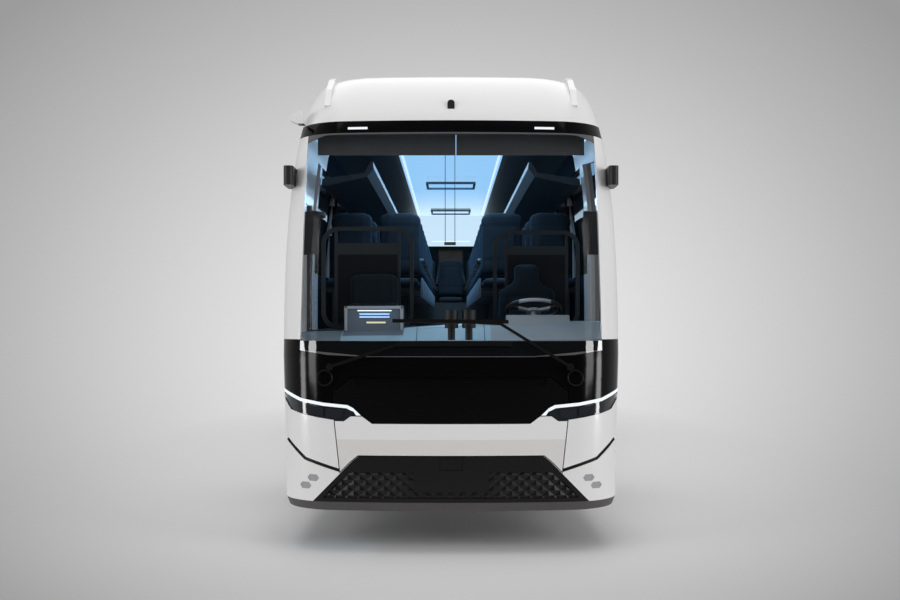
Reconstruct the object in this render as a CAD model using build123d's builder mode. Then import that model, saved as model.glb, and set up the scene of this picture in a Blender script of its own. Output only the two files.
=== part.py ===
"""Two-axle touring coach, 12.1 m long, as an assembly of separate pieces.

Frame: +Z up, the front faces -Y, +X is the coach's own left (driver's) side.
The origin is on the ground under the middle of the coach. Millimetres.
Sizes along the coach are given as a distance behind the nose and placed by y_at().
"""

import os
from math import atan2, cos, degrees, radians, sin, sqrt

from build123d import *

os.makedirs("parts", exist_ok=True)

# ---- overall size -------------------------------------------------------
length = 12100
wide = 1400            # half of a box that takes in the whole width
nose = -length / 2
tail = length / 2
front_end = 782        # the lofted front pieces end this far behind the nose
rear_start = 11750     # and the rear panel starts here
pillar_foot = 1540

# ---- curves of the shell in plan ----------------------------------------
bow_radius = 7000
corner_radius = 420
rear_corner_radius = 180

# ---- wall thicknesses ---------------------------------------------------
panel = 40             # lower panels and skirts
wall = 45              # side walls, pillars and roof
lid_panel = 25         # flap in the front
screen_glass = 12
pane = 8
shut_gap = 8           # between a closed door or flap and its frame

# ---- running gear -------------------------------------------------------
front_axle_at = 2750
rear_axle_at = 8840
hub_height = 518
tyre_radius = 518
tyre_width = 290
rim_radius = 286
front_wheel_x = 1050
kingpin_x = 880
twin_x = 915
twin_pitch = 336
arch_radius = 605

# ---- floors -------------------------------------------------------------
aisle_floor = 1420
podium = 1600
deck_thickness = 60
platform = 930
sill = 360
aisle_half = 260
deck_front = 2100

# ---- door, flaps and hatches --------------------------------------------
door_from, door_to = 790, 1640
door_top = 2642
flap_bays = ((3440, 5790), (5798, 8150))
flap_top = 1330
hatch_at = (6350, 10350)
hatch_size = 700


def y_at(distance):
    """The Y of a place this far behind the nose."""
    return nose + distance


# Sections of the shell: columns height, half width, front set-back, rear set-back.
lip_sections = ((310, 1218, 26, 30), (373, 1238, 0, 0))
lower_sections = ((373, 1238, 0, 0), (702, 1243, 8, 0), (1055, 1258, 38, 10), (1414, 1275, 85, 20))
screen_sections = ((1414, 1275, 85, 20), (2200, 1272, 205, 50), (2720, 1240, 300, 75), (3190, 1178, 445, 100))
dome_sections = (
    (3190, 1178, 445, 100),
    (3340, 1142, 520, 115),
    (3470, 1095, 640, 140),
    (3580, 1030, 830, 190),
    (3650, 970, 1080, 260),
    (3680, 915, 1400, 380),
)
belt = lower_sections[-1][0]
header_top = screen_sections[-1][0]
header_foot = 3095
skirt_bottom = lower_sections[0][0]
roof_top = dome_sections[-1][0]


def plan_outline(height, half, front_set, rear_set, inset):
    """The shell's plan outline at one height: a bowed front, round corners, straight sides."""
    bow = bow_radius - inset
    corner = corner_radius - inset
    rear_corner = rear_corner_radius - inset
    w = half - inset
    front = nose + front_set + inset
    back = tail - rear_set - inset
    bow_y = front + bow
    corner_y = bow_y - sqrt((bow - corner) ** 2 - (w - corner) ** 2)
    touch = bow / (bow - corner)
    touch_x = (w - corner) * touch
    touch_y = bow_y + (corner_y - bow_y) * touch
    with BuildSketch(Plane.XY.offset(height)) as outline:
        with BuildLine():
            ThreePointArc((-touch_x, touch_y), (0, front), (touch_x, touch_y))
            RadiusArc((touch_x, touch_y), (w, corner_y), -corner)
            Line((w, corner_y), (w, back - rear_corner))
            RadiusArc((w, back - rear_corner), (w - rear_corner, back), -rear_corner)
            Line((w - rear_corner, back), (rear_corner - w, back))
            RadiusArc((rear_corner - w, back), (-w, back - rear_corner), -rear_corner)
            Line((-w, back - rear_corner), (-w, corner_y))
            RadiusArc((-w, corner_y), (-touch_x, touch_y), -corner)
        make_face()
    return outline.sketch.face()


def hull(sections, inset=0, drop=0):
    """Solid loft through a table of sections, drawn in by inset, its upper sections lowered by drop."""
    faces = []
    for index, (height, half, front_set, rear_set) in enumerate(sections):
        lowered = height - (drop if index else 0)
        faces.append(plan_outline(lowered, half, front_set, rear_set, inset))
    with BuildPart() as block:
        loft(faces)
    return block.part


def layer(sections, outer, inner, drop=0):
    """What lies between two insets of the same shell."""
    with BuildPart() as skin:
        add(hull(sections, outer))
        add(hull(sections, inner, drop), mode=Mode.SUBTRACT)
    return skin.part


def front_prism(*outlines, grow=0, reach=length):
    """Prisms of outlines drawn in the front view (x, z), over the front half, or the rear with -length."""
    with BuildPart() as prism:
        with BuildSketch(Plane.XZ):
            for points in outlines:
                with BuildLine():
                    Polyline(*points, close=True)
                make_face()
            if grow:
                offset(amount=grow, kind=Kind.INTERSECTION)
        extrude(amount=reach)
    return prism.part


def rear_prism(*outlines, grow=0):
    return front_prism(*outlines, grow=grow, reach=-length)


def side_prism(*outlines, side=1, grow=0):
    """Prisms of outlines drawn in the side view (distance behind nose, z), over the left or right half."""
    with BuildPart() as prism:
        with BuildSketch(Plane.YZ):
            for points in outlines:
                with BuildLine():
                    Polyline(*[(y_at(d), z) for d, z in points], close=True)
                make_face()
            if grow:
                offset(amount=grow, kind=Kind.INTERSECTION)
        extrude(amount=side * wide)
    return prism.part


def common(first, *others):
    """What several solids share."""
    with BuildPart() as shared:
        add(first)
        for other in others:
            add(other, mode=Mode.INTERSECT)
    return shared.part


def box(x, d, z):
    """Box from three (low, high) pairs: X, distance behind the nose, Z."""
    with BuildPart() as block:
        with Locations(((x[0] + x[1]) / 2, y_at((d[0] + d[1]) / 2), (z[0] + z[1]) / 2)):
            Box(x[1] - x[0], d[1] - d[0], z[1] - z[0])
    return block.part


def rectangle(d, z):
    """Corner points of a rectangle in the side or front view."""
    return [(d[0], z[0]), (d[1], z[0]), (d[1], z[1]), (d[0], z[1])]


def mirrored(points):
    """A right-hand half outline followed by its mirror image, so that it closes about X = 0."""
    return [*points, *[(-x, z) for x, z in reversed(points) if x != 0]]


def flipped(points):
    return [(-x, z) for x, z in reversed(points)]


def save(built, name, *loose):
    """Writes one piece; loose solids that lie in it without touching are kept apart."""
    shape = Compound([*built.part.solids(), *loose]) if loose else built.part
    shape.label = name
    export_step(shape, f"parts/{name}.step")


# ==== skins of the shell that the panels are cut from =====================
front_part = box((-wide, wide), (-50, front_end), (0, 4000))
rear_part = box((-wide, wide), (rear_start, length + 50), (0, 4000))
side_parts = {side: box(sorted((0, side * wide)), (front_end, rear_start), (0, 4000)) for side in (1, -1)}

lower_panel = layer(lower_sections, 0, panel)
screen_wall = layer(screen_sections, 0, wall)
screen_pane = layer(screen_sections, 0, pane)
lower_front = common(lower_panel, front_part)
screen_front = common(screen_wall, front_part)
lower_rear = common(lower_panel, rear_part)
screen_rear = common(screen_wall, rear_part)

with BuildPart() as cabin:
    add(hull(lower_sections, panel))
    add(hull(screen_sections, wall))
cabin_core = cabin.part

# ==== front: outlines in the front view, right-hand half, (x, z) ==========
grille_half = [(0, 373), (1000, 373), (722, 657), (668, 702), (0, 702)]
flap_half = [(0, 709), (671, 709), (728, 663), (799, 591), (842, 960), (849, 1160), (727, 1262), (0, 1262)]
lamp_outline = [
    (1216, 1159), (1097, 1112), (923, 1083), (749, 1067), (707, 1046), (650, 993), (728, 993),
    (777, 957), (841, 959), (991, 980), (1102, 1002), (1183, 1024), (1223, 1071), (1300, 1150), (1300, 1190),
]
screen_half = [
    (0, 1414), (600, 1414), (900, 1428), (1112, 1460), (1112, pillar_foot), (1096, header_foot), (0, header_foot),
]
panel_half = [
    (0, 1270), (731, 1270), (857, 1166), (857, 1030), (1100, 1060), (1200, 1100), (1300, 1165),
    (wide, 1165), (wide, pillar_foot), (1112, pillar_foot), (1112, 1460), (900, 1428), (600, 1414), (0, 1414),
]
front_middle = [(-857, 1000), (857, 1000), (857, 1500), (-857, 1500)]
header_half = [(0, header_foot), (wide, header_foot), (wide, header_top), (0, header_top)]
groove_line = [(1213, 804), (1060, 678), (794, 596)]
groove_width = 24
groove_depth = 12
fog_places = ((997, 542), (1055, 484))
fog_size = (44, 24)
fog_hexagon = [(-1, 0), (-0.6, -1), (0.6, -1), (1, 0), (0.6, 1), (-0.6, 1)]
lamp_reach = 430       # the headlamp runs this far round the corner

lamp_zone = box((-wide, wide), (-50, lamp_reach), (900, 1250))
lamp_cut = common(front_prism(lamp_outline, flipped(lamp_outline)), lamp_zone)
lamp_room = front_prism(lamp_outline, flipped(lamp_outline), grow=7)
grille_prism = front_prism(mirrored(grille_half))
flap_prism = front_prism(mirrored(flap_half))
flap_room = front_prism(mirrored(flap_half), grow=7)
panel_prism = front_prism(mirrored(panel_half))
marker_cut = front_prism(rectangle((-780, -630), (3122, 3140)), rectangle((630, 780), (3122, 3140)))
slot_cut = front_prism([(-700, 1256), (-676, 1206), (676, 1206), (700, 1256)])
slot_depth = 14
screen_prism = front_prism(mirrored(screen_half))
fog_cut = front_prism(*[
    [(side * fog_x + u * fog_size[0], fog_z + v * fog_size[1]) for u, v in fog_hexagon]
    for side in (1, -1) for fog_x, fog_z in fog_places
])
with BuildPart() as grooves:
    with BuildSketch(Plane.XZ):
        for side in (1, -1):
            with BuildLine():
                Polyline(*[(side * x, z) for x, z in groove_line])
            trace(line_width=groove_width)
    extrude(amount=length)
groove_cut = grooves.part

with BuildPart() as bumper_lip:
    add(hull(lip_sections))
    add(hull(lip_sections, 120), mode=Mode.SUBTRACT)
    add(front_part, mode=Mode.INTERSECT)
save(bumper_lip, "bumper_lip")

stud_half, stud_rise, stud_row = 44, 10, 36.9      # a diamond stud: half width, height, row pitch
stud_foot = 14                                     # thickness of the insert under its studs
backing = 30                                       # the insert lies in a pocket this deep
quilt_z = (402, 588)
quilt_foot = 420.5                                 # height of the lowest row's middles
bay_width = 8 * stud_half
quilt_bays = 6
pocket_half = [(0, 402), (925, 402), (745, 588), (270, 588), (270, 446), (0, 446)]
pocket_outline = mirrored(pocket_half)
cover_x, cover_z = (-82, 82), (604, 694)
cover_groove = 4


def ridges(lean):
    """Zigzag ridges that lean one way across a bay of the grille; two sets crossed make diamonds."""
    along = Vector(stud_half, 0, lean * stud_row).normalized()
    across_ridges = Vector(-lean * stud_row, 0, stud_half).normalized()
    step = 2 * stud_half * stud_row / sqrt(stud_half**2 + stud_row**2)
    base = Plane(origin=(0, 0, quilt_foot), x_dir=across_ridges, z_dir=along)
    outward = -1 if base.y_dir.Y > 0 else 1
    count = 4
    points = []
    for index in range(-count, count + 1):
        points += [((index - 0.5) * step, 0), (index * step, outward * stud_rise)]
    end = (count + 0.5) * step
    points += [(end, 0), (end, -outward * stud_foot), (-end, -outward * stud_foot)]
    with BuildPart() as zigzag:
        with BuildSketch(base):
            with BuildLine():
                Polyline(*points, close=True)
            make_face()
        extrude(amount=bay_width, both=True)
    return zigzag.part


bay_middle = (quilt_z[0] + quilt_z[1]) / 2
quilt_lean = -degrees(atan2(lower_sections[1][2], lower_sections[1][0] - lower_sections[0][0]))
quilt_inset = backing - stud_foot - 1
with BuildPart() as bay:
    add(ridges(1))
    add(ridges(-1), mode=Mode.INTERSECT)
    with Locations((0, 0, bay_middle)):
        Box(bay_width + 0.5, 60, quilt_z[1] - quilt_z[0], mode=Mode.INTERSECT)
quilt = []
for index in range(quilt_bays):
    turn = (index - (quilt_bays - 1) / 2) * bay_width / bow_radius
    tangent = Location((0, nose + bow_radius, skirt_bottom), (0, 0, degrees(turn)))
    standing = Location((0, quilt_inset - bow_radius, 0), (quilt_lean, 0, 0)) * Location((0, 0, -skirt_bottom))
    quilt.append(bay.part.moved(tangent * standing))

with BuildPart() as insert:
    add(quilt)
    add(front_prism(pocket_outline, grow=-1), mode=Mode.INTERSECT)

with BuildPart() as lower_grille:
    add(common(layer(lower_sections, 3, panel), front_part, grille_prism))
    pocket = common(layer(lower_sections, 0, backing), front_part, front_prism(pocket_outline))
    add(pocket, mode=Mode.SUBTRACT)
    with BuildSketch(Plane.XZ.offset(-nose)):
        with BuildLine():
            Polyline(*rectangle(cover_x, cover_z), close=True)
        make_face()
        offset(amount=-cover_groove, kind=Kind.INTERSECTION, mode=Mode.SUBTRACT)
    extrude(amount=-16, mode=Mode.SUBTRACT)
    add(common(layer(lower_sections, groove_depth, panel), front_part, groove_cut))
    add(flap_room, mode=Mode.SUBTRACT)
save(lower_grille, "lower_grille", *insert.part.solids())

with BuildPart() as bumper_corners:
    add(lower_front)
    middle_prism = front_prism(front_middle)
    for cutter in (grille_prism, flap_room, panel_prism, middle_prism, lamp_cut, groove_cut, fog_cut):
        add(cutter, mode=Mode.SUBTRACT)
save(bumper_corners, "bumper_corners")

with BuildPart() as front_panel:
    add(common(lower_front, panel_prism))
    add(lamp_cut, mode=Mode.SUBTRACT)
    add(common(screen_front, panel_prism))
    add(common(screen_front, front_prism(mirrored(header_half))))
    add(marker_cut, mode=Mode.SUBTRACT)
save(front_panel, "front_panel")

with BuildPart() as front_flap:
    add(common(layer(lower_sections, 0, lid_panel), front_part, flap_prism))
    add(lamp_room, mode=Mode.SUBTRACT)
    add(common(layer(lower_sections, 0, slot_depth), front_part, slot_cut), mode=Mode.SUBTRACT)
save(front_flap, "front_flap")

with BuildPart() as windscreen:
    add(common(layer(screen_sections, 0, screen_glass), front_part, screen_prism))
save(windscreen, "windscreen")

with BuildPart() as corner_pillars:
    add(common(screen_front, box((-wide, wide), (-50, front_end), (pillar_foot, header_foot))))
    add(screen_prism, mode=Mode.SUBTRACT)
save(corner_pillars, "corner_pillars")

# ==== sides: skirts, side walls, flaps and panes =========================
band = (2050, 3110)                 # height of the glazing
pane_spans = ((2060, 3595), (3601, 5135), (5141, 6675), (6681, 8215), (8221, 9755), (9761, 11290))
frame_margin = 55                   # of a pane that lies on its frame
driver_window = [(850, 1500), (1940, 1620), (1940, 3110), (850, 3000)]
pane_outlines = {
    1: [driver_window, *[rectangle(span, band) for span in pane_spans]],
    -1: [rectangle((1730, 2054), band), *[rectangle(span, band) for span in pane_spans]],
}
door_gap_from, door_gap_to = front_end - 10, door_to + shut_gap
side_names = ((1, "left"), (-1, "right"))

side_panes = {}
for side, side_name in side_names:
    side_panes[side] = common(screen_pane, side_prism(*pane_outlines[side], side=side))
    with BuildPart() as side_wall:
        add(common(screen_wall, side_parts[side]))
        add(side_panes[side], mode=Mode.SUBTRACT)
        add(side_prism(*pane_outlines[side], side=side, grow=-frame_margin), mode=Mode.SUBTRACT)
        if side < 0:
            opening = rectangle((door_gap_from, door_gap_to), (belt - 100, door_top + shut_gap))
            add(side_prism(opening, side=side), mode=Mode.SUBTRACT)
    save(side_wall, f"side_wall_{side_name}")

    flap_opening = rectangle((flap_bays[0][0] - shut_gap, flap_bays[-1][1] + shut_gap), (300, flap_top))
    with BuildPart() as skirt:
        add(common(lower_panel, side_parts[side]))
        with BuildSketch(Plane.YZ):
            for axle_at in (front_axle_at, rear_axle_at):
                with Locations((y_at(axle_at), hub_height)):
                    Circle(arch_radius)
        extrude(amount=side * wide, mode=Mode.SUBTRACT)
        add(side_prism(flap_opening, side=side), mode=Mode.SUBTRACT)
        if side < 0:
            opening = rectangle((door_gap_from, door_gap_to), (300, belt + 100))
            add(side_prism(opening, side=side), mode=Mode.SUBTRACT)
    save(skirt, f"skirt_{side_name}")

    for number, (start, end) in enumerate(flap_bays, 1):
        outline = rectangle((start, end), (skirt_bottom, flap_top - shut_gap))
        with BuildPart() as luggage_flap:
            add(common(lower_panel, side_prism(outline, side=side)))
        save(luggage_flap, f"luggage_flap_{side_name}_{number}")

# ==== rear ===============================================================
lid_half, lid_foot, lid_top = 880, 600, 1380
tail_lamp_x, tail_lamp_z = (1010, 1190), (760, 1330)
rear_window_points = [(-900, 2150), (900, 2150), (850, 2980), (-850, 2980)]
tail_cut = rear_prism(*[rectangle(sorted(side * x for x in tail_lamp_x), tail_lamp_z) for side in (1, -1)])
rear_pane = common(screen_pane, rear_part, rear_prism(rear_window_points))

with BuildPart() as rear_panel:
    add(lower_rear)
    add(rear_prism(rectangle((-lid_half, lid_half), (lid_foot, lid_top)), grow=shut_gap), mode=Mode.SUBTRACT)
    add(tail_cut, mode=Mode.SUBTRACT)
    add(screen_rear)
    add(rear_prism(rear_window_points, grow=-frame_margin), mode=Mode.SUBTRACT)
    add(rear_pane, mode=Mode.SUBTRACT)
save(rear_panel, "rear_panel")

louvre_rows = [740 + 62 * row for row in range(6)]
louvre_height, louvre_depth = 30, 18
with BuildPart() as engine_lid:
    add(common(lower_rear, rear_prism(rectangle((-lid_half, lid_half), (lid_foot, lid_top)))))
    for row in louvre_rows:
        add(box((-700, 700), (length - 40, length), (row, row + louvre_height)), mode=Mode.SUBTRACT)
save(engine_lid, "engine_lid")

with BuildPart() as window_panes:
    add(rear_pane)
save(window_panes, "window_panes", *side_panes[1].solids(), *side_panes[-1].solids())

lamp_brow = [(1300, 1190), (1216, 1159), (1097, 1112), (923, 1083), (749, 1067), (707, 1046), (650, 993)]
brow_width = 46                     # half of it lies on the lamp
lens_outlines = [
    [(1064, 1074), (925, 1050), (925, 990), (1064, 1004)],
    [(908, 1047), (778, 1034), (790, 972), (840, 968), (908, 982)],
]
with BuildPart() as brows:
    with BuildSketch(Plane.XZ):
        for side in (1, -1):
            with BuildLine():
                Polyline(*[(side * x, z) for x, z in lamp_brow])
            trace(line_width=brow_width)
    extrude(amount=length)
lens_prism = front_prism(*lens_outlines, *[flipped(outline) for outline in lens_outlines])
lamp_recess = common(layer(lower_sections, 0, 9), lamp_cut)
with BuildPart() as recess:
    add(lamp_recess)
    add(brows.part, mode=Mode.SUBTRACT)
    add(lens_prism, mode=Mode.SUBTRACT)
with BuildPart() as lamps:
    add(common(lower_panel, lamp_cut))
    add(recess.part, mode=Mode.SUBTRACT)
fog_lamps = common(layer(lower_sections, 4, panel), front_part, fog_cut)
tail_lamps = common(lower_rear, tail_cut)
markers = common(screen_front, marker_cut)
save(lamps, "lamps", *fog_lamps.solids(), *tail_lamps.solids(), *markers.solids())


# ==== roof ===============================================================
hatch_hole = 640
hatch_lift = 6
rail_line = [
    (600, 3330), (735, 3480), (960, 3600), (1080, 3636), (1180, 3660), (1330, 3688), (1600, 3696), (11300, 3696),
    (11650, 3680), (11840, 3610), (11920, 3510), (11900, 3440), (11500, 3500), (1400, 3560), (1000, 3480), (700, 3330),
]
edge_rail_x = (927, 973)
with BuildPart() as edge_rails:
    for side in (1, -1):
        with BuildSketch(Plane.YZ.offset(side * edge_rail_x[0])):
            with BuildLine():
                Polyline(*[(y_at(d), z) for d, z in rail_line], close=True)
            make_face()
        extrude(amount=side * (edge_rail_x[1] - edge_rail_x[0]))
    add(hull(dome_sections, wall, wall), mode=Mode.SUBTRACT)
with BuildPart() as roof:
    add(layer(dome_sections, 0, wall, wall))
    add(edge_rails.part)
    with Locations(*[(0, y_at(place), roof_top) for place in hatch_at]):
        Box(hatch_hole, hatch_hole, 300, mode=Mode.SUBTRACT)
save(roof, "roof")

for name, place in zip(("front", "rear"), hatch_at):
    with BuildPart() as hatch:
        with BuildSketch(Plane.XY.offset(roof_top + hatch_lift)):
            with Locations((0, y_at(place))):
                RectangleRounded(hatch_size, hatch_size, 60)
        extrude(amount=34, taper=20)
    save(hatch, f"roof_hatch_{name}")

unit_from, unit_to, unit_half, unit_height = 7300, 9500, 860, 78
with BuildPart() as roof_unit:
    with BuildSketch(Plane.XY.offset(roof_top)):
        with Locations((0, y_at((unit_from + unit_to) / 2))):
            RectangleRounded(2 * unit_half, unit_to - unit_from, 120)
    extrude(amount=unit_height, taper=25)
save(roof_unit, "roof_unit")

# ==== camera housings ====================================================
with BuildPart() as mirror_cameras:
    for side in (1, -1):
        with BuildSketch(Plane.XY.offset(2700)):
            with Locations((side * 1226, y_at(560))):
                RectangleRounded(72, 300, 30)
        extrude(amount=145)
    with BuildSketch(Plane.XZ.offset(-y_at(700))):
        with BuildLine():
            Polyline((-1128, 3190), (-1150, 3300), (-1235, 3255), (-1235, 3215), (-1178, 3190), close=True)
        make_face()
    extrude(amount=110)
    with BuildSketch(Plane.XZ.offset(-y_at(486))):
        with Locations((0, 3311)):
            RectangleRounded(54, 84, 24)
    extrude(amount=-70)
    add(hull(screen_sections), mode=Mode.SUBTRACT)
    add(hull(dome_sections), mode=Mode.SUBTRACT)
    for side in (1, -1):
        with Locations(Location((side * 1098, y_at(735), 2360), (0, 0, side * 22))):
            Box(140, 26, 335)
        add(common(box(sorted((side * 1120, side * 1300)), (742, 762), (2340, 2380)), cabin_core))
save(mirror_cameras, "mirror_cameras")

# ==== wipers, parked =====================================================
wiper_lean, wiper_turn = 0.17, 0.055
for_side = {1: ((863, 1343), (357, 1654), (-5, 1669)), -1: ((-878, 1343), (-348, 1515), (22, 1501))}
blade_length = 840
hose_loop, hose_drop = 55, 34          # radius of the washer hose's loop, and how far it lies behind the arm
with BuildPart() as wipers:
    for side, (pivot, bend, middle) in for_side.items():
        pivot_y = nose + 97 - 45 + wiper_lean * (pivot[1] - 1500) + wiper_turn * abs(pivot[0])
        normal = Vector(wiper_turn * side, -1, wiper_lean).normalized()
        face = Plane(origin=(pivot[0], pivot_y, pivot[1]), x_dir=(1, 0, 0), z_dir=normal)
        route = [(x - pivot[0], z - pivot[1]) for x, z in (pivot, bend, middle)]
        with BuildSketch(face.offset(-6)):
            with BuildLine():
                Polyline(*route)
            trace(line_width=20)
            with Locations(route[2]):
                Rectangle(blade_length, 26)
            Circle(26)
        extrude(amount=14)
        with BuildSketch(face.offset(-70)):
            Circle(22)
        extrude(amount=70)
        loop = Plane(origin=face.from_local_coords((side * 40, -75, -hose_drop)), x_dir=(1, 0, 0), z_dir=normal)
        with BuildSketch(Plane(origin=loop.origin, x_dir=loop.x_dir, z_dir=-loop.y_dir)):
            with Locations((hose_loop, 0)):
                Circle(5)
        revolve(axis=Axis(loop.origin, loop.z_dir), revolution_arc=360)
        with BuildSketch(loop.offset(-60)):
            for turn in (35, 145):
                with Locations((hose_loop * cos(radians(turn)), hose_loop * sin(radians(turn)))):
                    Circle(6)
        extrude(amount=62)
    add(hull(lower_sections), mode=Mode.SUBTRACT)
    add(hull(screen_sections), mode=Mode.SUBTRACT)
save(wipers, "wipers")

# ==== floors, underbody and chassis ======================================
aisle_plate = [
    (-aisle_half, aisle_floor - deck_thickness), (aisle_half, aisle_floor - deck_thickness),
    (aisle_half, aisle_floor), (-aisle_half, aisle_floor),
]
podium_deck = [
    (aisle_half + 1, aisle_floor - deck_thickness), (aisle_half + deck_thickness, aisle_floor - deck_thickness),
    (aisle_half + deck_thickness, podium - deck_thickness), (wide, podium - deck_thickness), (wide, podium),
    (aisle_half + 1, podium),
]
deck_end = 12000
stair_outline = [
    (-wide, sill - 30), (-wide, sill), (-930, sill), (-930, 550), (-640, 550), (-640, 740), (-350, 740),
    (-350, platform), (-320, platform), (-320, 710), (-610, 710), (-610, 520), (-900, 520), (-900, sill - 30),
]

stair_wall_outline = [
    (-wide, skirt_bottom), (-450, skirt_bottom), (-450, 700), (-320, 700), (-320, 1540), (-wide, 1540),
]


def across(outline, start, end):
    """Section (x, z) that runs along the coach from start to end, trimmed to the inside of the shell."""
    with BuildPart() as run:
        with BuildSketch(Plane.XZ.offset(-y_at(start))):
            with BuildLine():
                Polyline(*outline, close=True)
            make_face()
        extrude(amount=start - end)
        add(cabin_core, mode=Mode.INTERSECT)
    return run.part


with BuildPart() as floor_deck:
    add(across(aisle_plate, deck_front, deck_end))
    add(across(podium_deck, deck_front, deck_end))
    add(across(flipped(podium_deck), deck_front, deck_end))
    add(across(rectangle((-wide, -aisle_half - 1), (podium - deck_thickness, podium)), door_to + 40, deck_front))
    add(across(stair_wall_outline, door_to + 20, door_to + 60))
    add(across(rectangle((-320, wide), (platform - 60, platform)), 270, deck_front - 1))
    add(across(rectangle((-850, 850), (700, 1385)), 240, 270))
    add(across(rectangle((-320, wide), (platform, podium - deck_thickness)), deck_front - 40, deck_front - 1))
    add(across(rectangle((-200, 200), (platform, 1175)), 1740, deck_front - 40))
    add(across(stair_outline, door_from + 20, door_to + 20))
save(floor_deck, "floor_deck")

well_top, well_inner, well_foot = 1110, 525, 400
well_spans = ((2120, 3390), (8210, 9470))
cross_walls = ((2100, 2120), (3390, 3420), (8180, 8210), (9470, 9490))
deck_under = podium - deck_thickness
wall_split = aisle_half + deck_thickness
cross_middle = rectangle((2 - wall_split, wall_split - 2), (700, aisle_floor - deck_thickness))
cross_side = [
    (wall_split + 2, 700), (well_inner, 700), (well_inner, well_foot), (wide, well_foot), (wide, deck_under),
    (wall_split + 2, deck_under),
]
with BuildPart() as underbody:
    for start, end in cross_walls:
        add(across(cross_middle, start, end))
        add(across(cross_side, start, end))
        add(across(flipped(cross_side), start, end))
    add(across(rectangle((-wide, wide), (420, 450)), 3420, 8180))
    for start, end in well_spans:
        for side in (1, -1):
            add(across(rectangle(sorted((side * well_inner, side * wide)), (well_top, well_top + 15)), start, end))
            add(across(rectangle(sorted((side * well_inner, side * (well_inner + 10))), (700, well_top)), start, end))
save(underbody, "underbody")

rail_x, rail_z = (360, 440), (580, 700)
rail_spans = ((-50, 3390), (8210, 11650))
with BuildPart() as chassis:
    for side in (1, -1):
        for start, end in rail_spans:
            add(common(box(sorted(side * x for x in rail_x), (start, end), rail_z), cabin_core))
    for place in (300, 1900, 3300, 8260, 9700, 11560):
        add(box((-rail_x[0], rail_x[0]), (place, place + 80), rail_z))
    for place in (700, 1700):
        for side in (1, -1):
            add(box(sorted(side * x for x in rail_x), (place, place + 70), (rail_z[1], platform - 60)))
save(chassis, "chassis")

engine_x = 330
with BuildPart() as engine:
    add(box((-engine_x, engine_x), (10250, 11480), (470, 1250)))
    for place in (10400, 11200):
        for side in (1, -1):
            pad_x = sorted((side * engine_x, side * rail_x[1]))
            add(box(pad_x, (place, place + 90), (rail_z[1], rail_z[1] + 60)))
save(engine, "engine")

# ==== axles, knuckles and wheels =========================================
boss_radius, boss_foot, boss_top = 45, 440, 596
beam_z = (445, 535)
with BuildPart() as axles:
    add(box((-840, 840), (front_axle_at - 55, front_axle_at + 55), beam_z))
    for side in (1, -1):
        with Locations((side * kingpin_x, y_at(front_axle_at), (boss_foot + boss_top) / 2)):
            Cylinder(boss_radius, boss_top - boss_foot)
        for place, foot in ((front_axle_at, beam_z[1]), (rear_axle_at, 578)):
            with Locations((side * 400, y_at(place), (foot + rail_z[0]) / 2)):
                if rail_z[0] - foot > 5:
                    Cylinder(95, rail_z[0] - foot)
    with BuildSketch(Plane.YZ.offset(-760)):
        with Locations((y_at(rear_axle_at), hub_height)):
            Circle(62)
    extrude(amount=1520)
    with Locations((0, y_at(rear_axle_at), hub_height)):
        Sphere(180)
    for side in (1, -1):
        with Locations((side * kingpin_x, y_at(front_axle_at), hub_height)):
            Cylinder(20.5, 300, mode=Mode.SUBTRACT)
save(axles, "axles")

for side, side_name in side_names:
    with BuildPart() as knuckle:
        for z in ((396, 434), (602, 640)):
            add(box(sorted((side * 845, side * 975)), (front_axle_at - 45, front_axle_at + 45), z))
        add(box(sorted((side * 935, side * 975)), (front_axle_at - 60, front_axle_at + 60), (396, 640)))
        with Locations((side * kingpin_x, y_at(front_axle_at), hub_height)):
            Cylinder(20, 244)
        with BuildSketch(Plane.YZ.offset(side * 975)):
            with Locations((y_at(front_axle_at), hub_height)):
                Circle(40)
        extrude(amount=side * 135)
    save(knuckle, f"knuckle_{side_name}")


def tyre_section(centre):
    """Half section of a tyre (x, radius) with a rounded shoulder."""
    half = tyre_width / 2
    with BuildSketch(Plane.XZ) as section:
        with BuildLine():
            Polyline(
                (centre - 115, rim_radius), (centre - half, rim_radius + 60), (centre - half, tyre_radius - 60),
                (centre - half + 18, tyre_radius - 12), (centre - half + 40, tyre_radius),
                (centre + half - 40, tyre_radius), (centre + half - 18, tyre_radius - 12),
                (centre + half, tyre_radius - 60), (centre + half, rim_radius + 60), (centre + 115, rim_radius), close=True,
            )
        make_face()
    return section.sketch


def spun(section, place):
    """A section (x, radius) spun about a wheel's axis and set at its axle."""
    with BuildPart() as ring:
        add(section)
        revolve(axis=Axis.X)
    return ring.part.moved(Location((0, y_at(place), hub_height)))


def rim_section(centre, disc_at, dish, hub, bore):
    """Half section of a rim (x, radius): barrel, a disc whose edge is shifted by dish, and the hub."""
    with BuildSketch(Plane.XZ) as section:
        with BuildLine():
            Polyline(
                (centre - 118, rim_radius), (centre + 118, rim_radius), (centre + 118, rim_radius - 14),
                (centre - 118, rim_radius - 14), close=True,
            )
        make_face()
        with BuildLine():
            Polyline(
                (disc_at - 8, bore), (disc_at + 8, bore), (disc_at + 8, 175), (disc_at + 8 + dish, rim_radius - 10),
                (disc_at - 8 + dish, rim_radius - 10), (disc_at - 8, 175), close=True,
            )
        make_face()
        with BuildLine():
            Polyline(
                (hub[0], bore), (hub[1], bore), (hub[1], 70), (hub[1] - (hub[1] - hub[0]) * 0.2, 105),
                (hub[0], 105), close=True,
            )
        make_face()
    return section.sketch


def hand_holes(place, side):
    """Cutter for the ring of round holes in a rim's disc."""
    with BuildPart() as holes:
        with BuildSketch(Plane.YZ):
            with Locations((y_at(place), hub_height)):
                with PolarLocations(222, 10):
                    Circle(26)
        extrude(amount=side * wide)
    return holes.part


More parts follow.
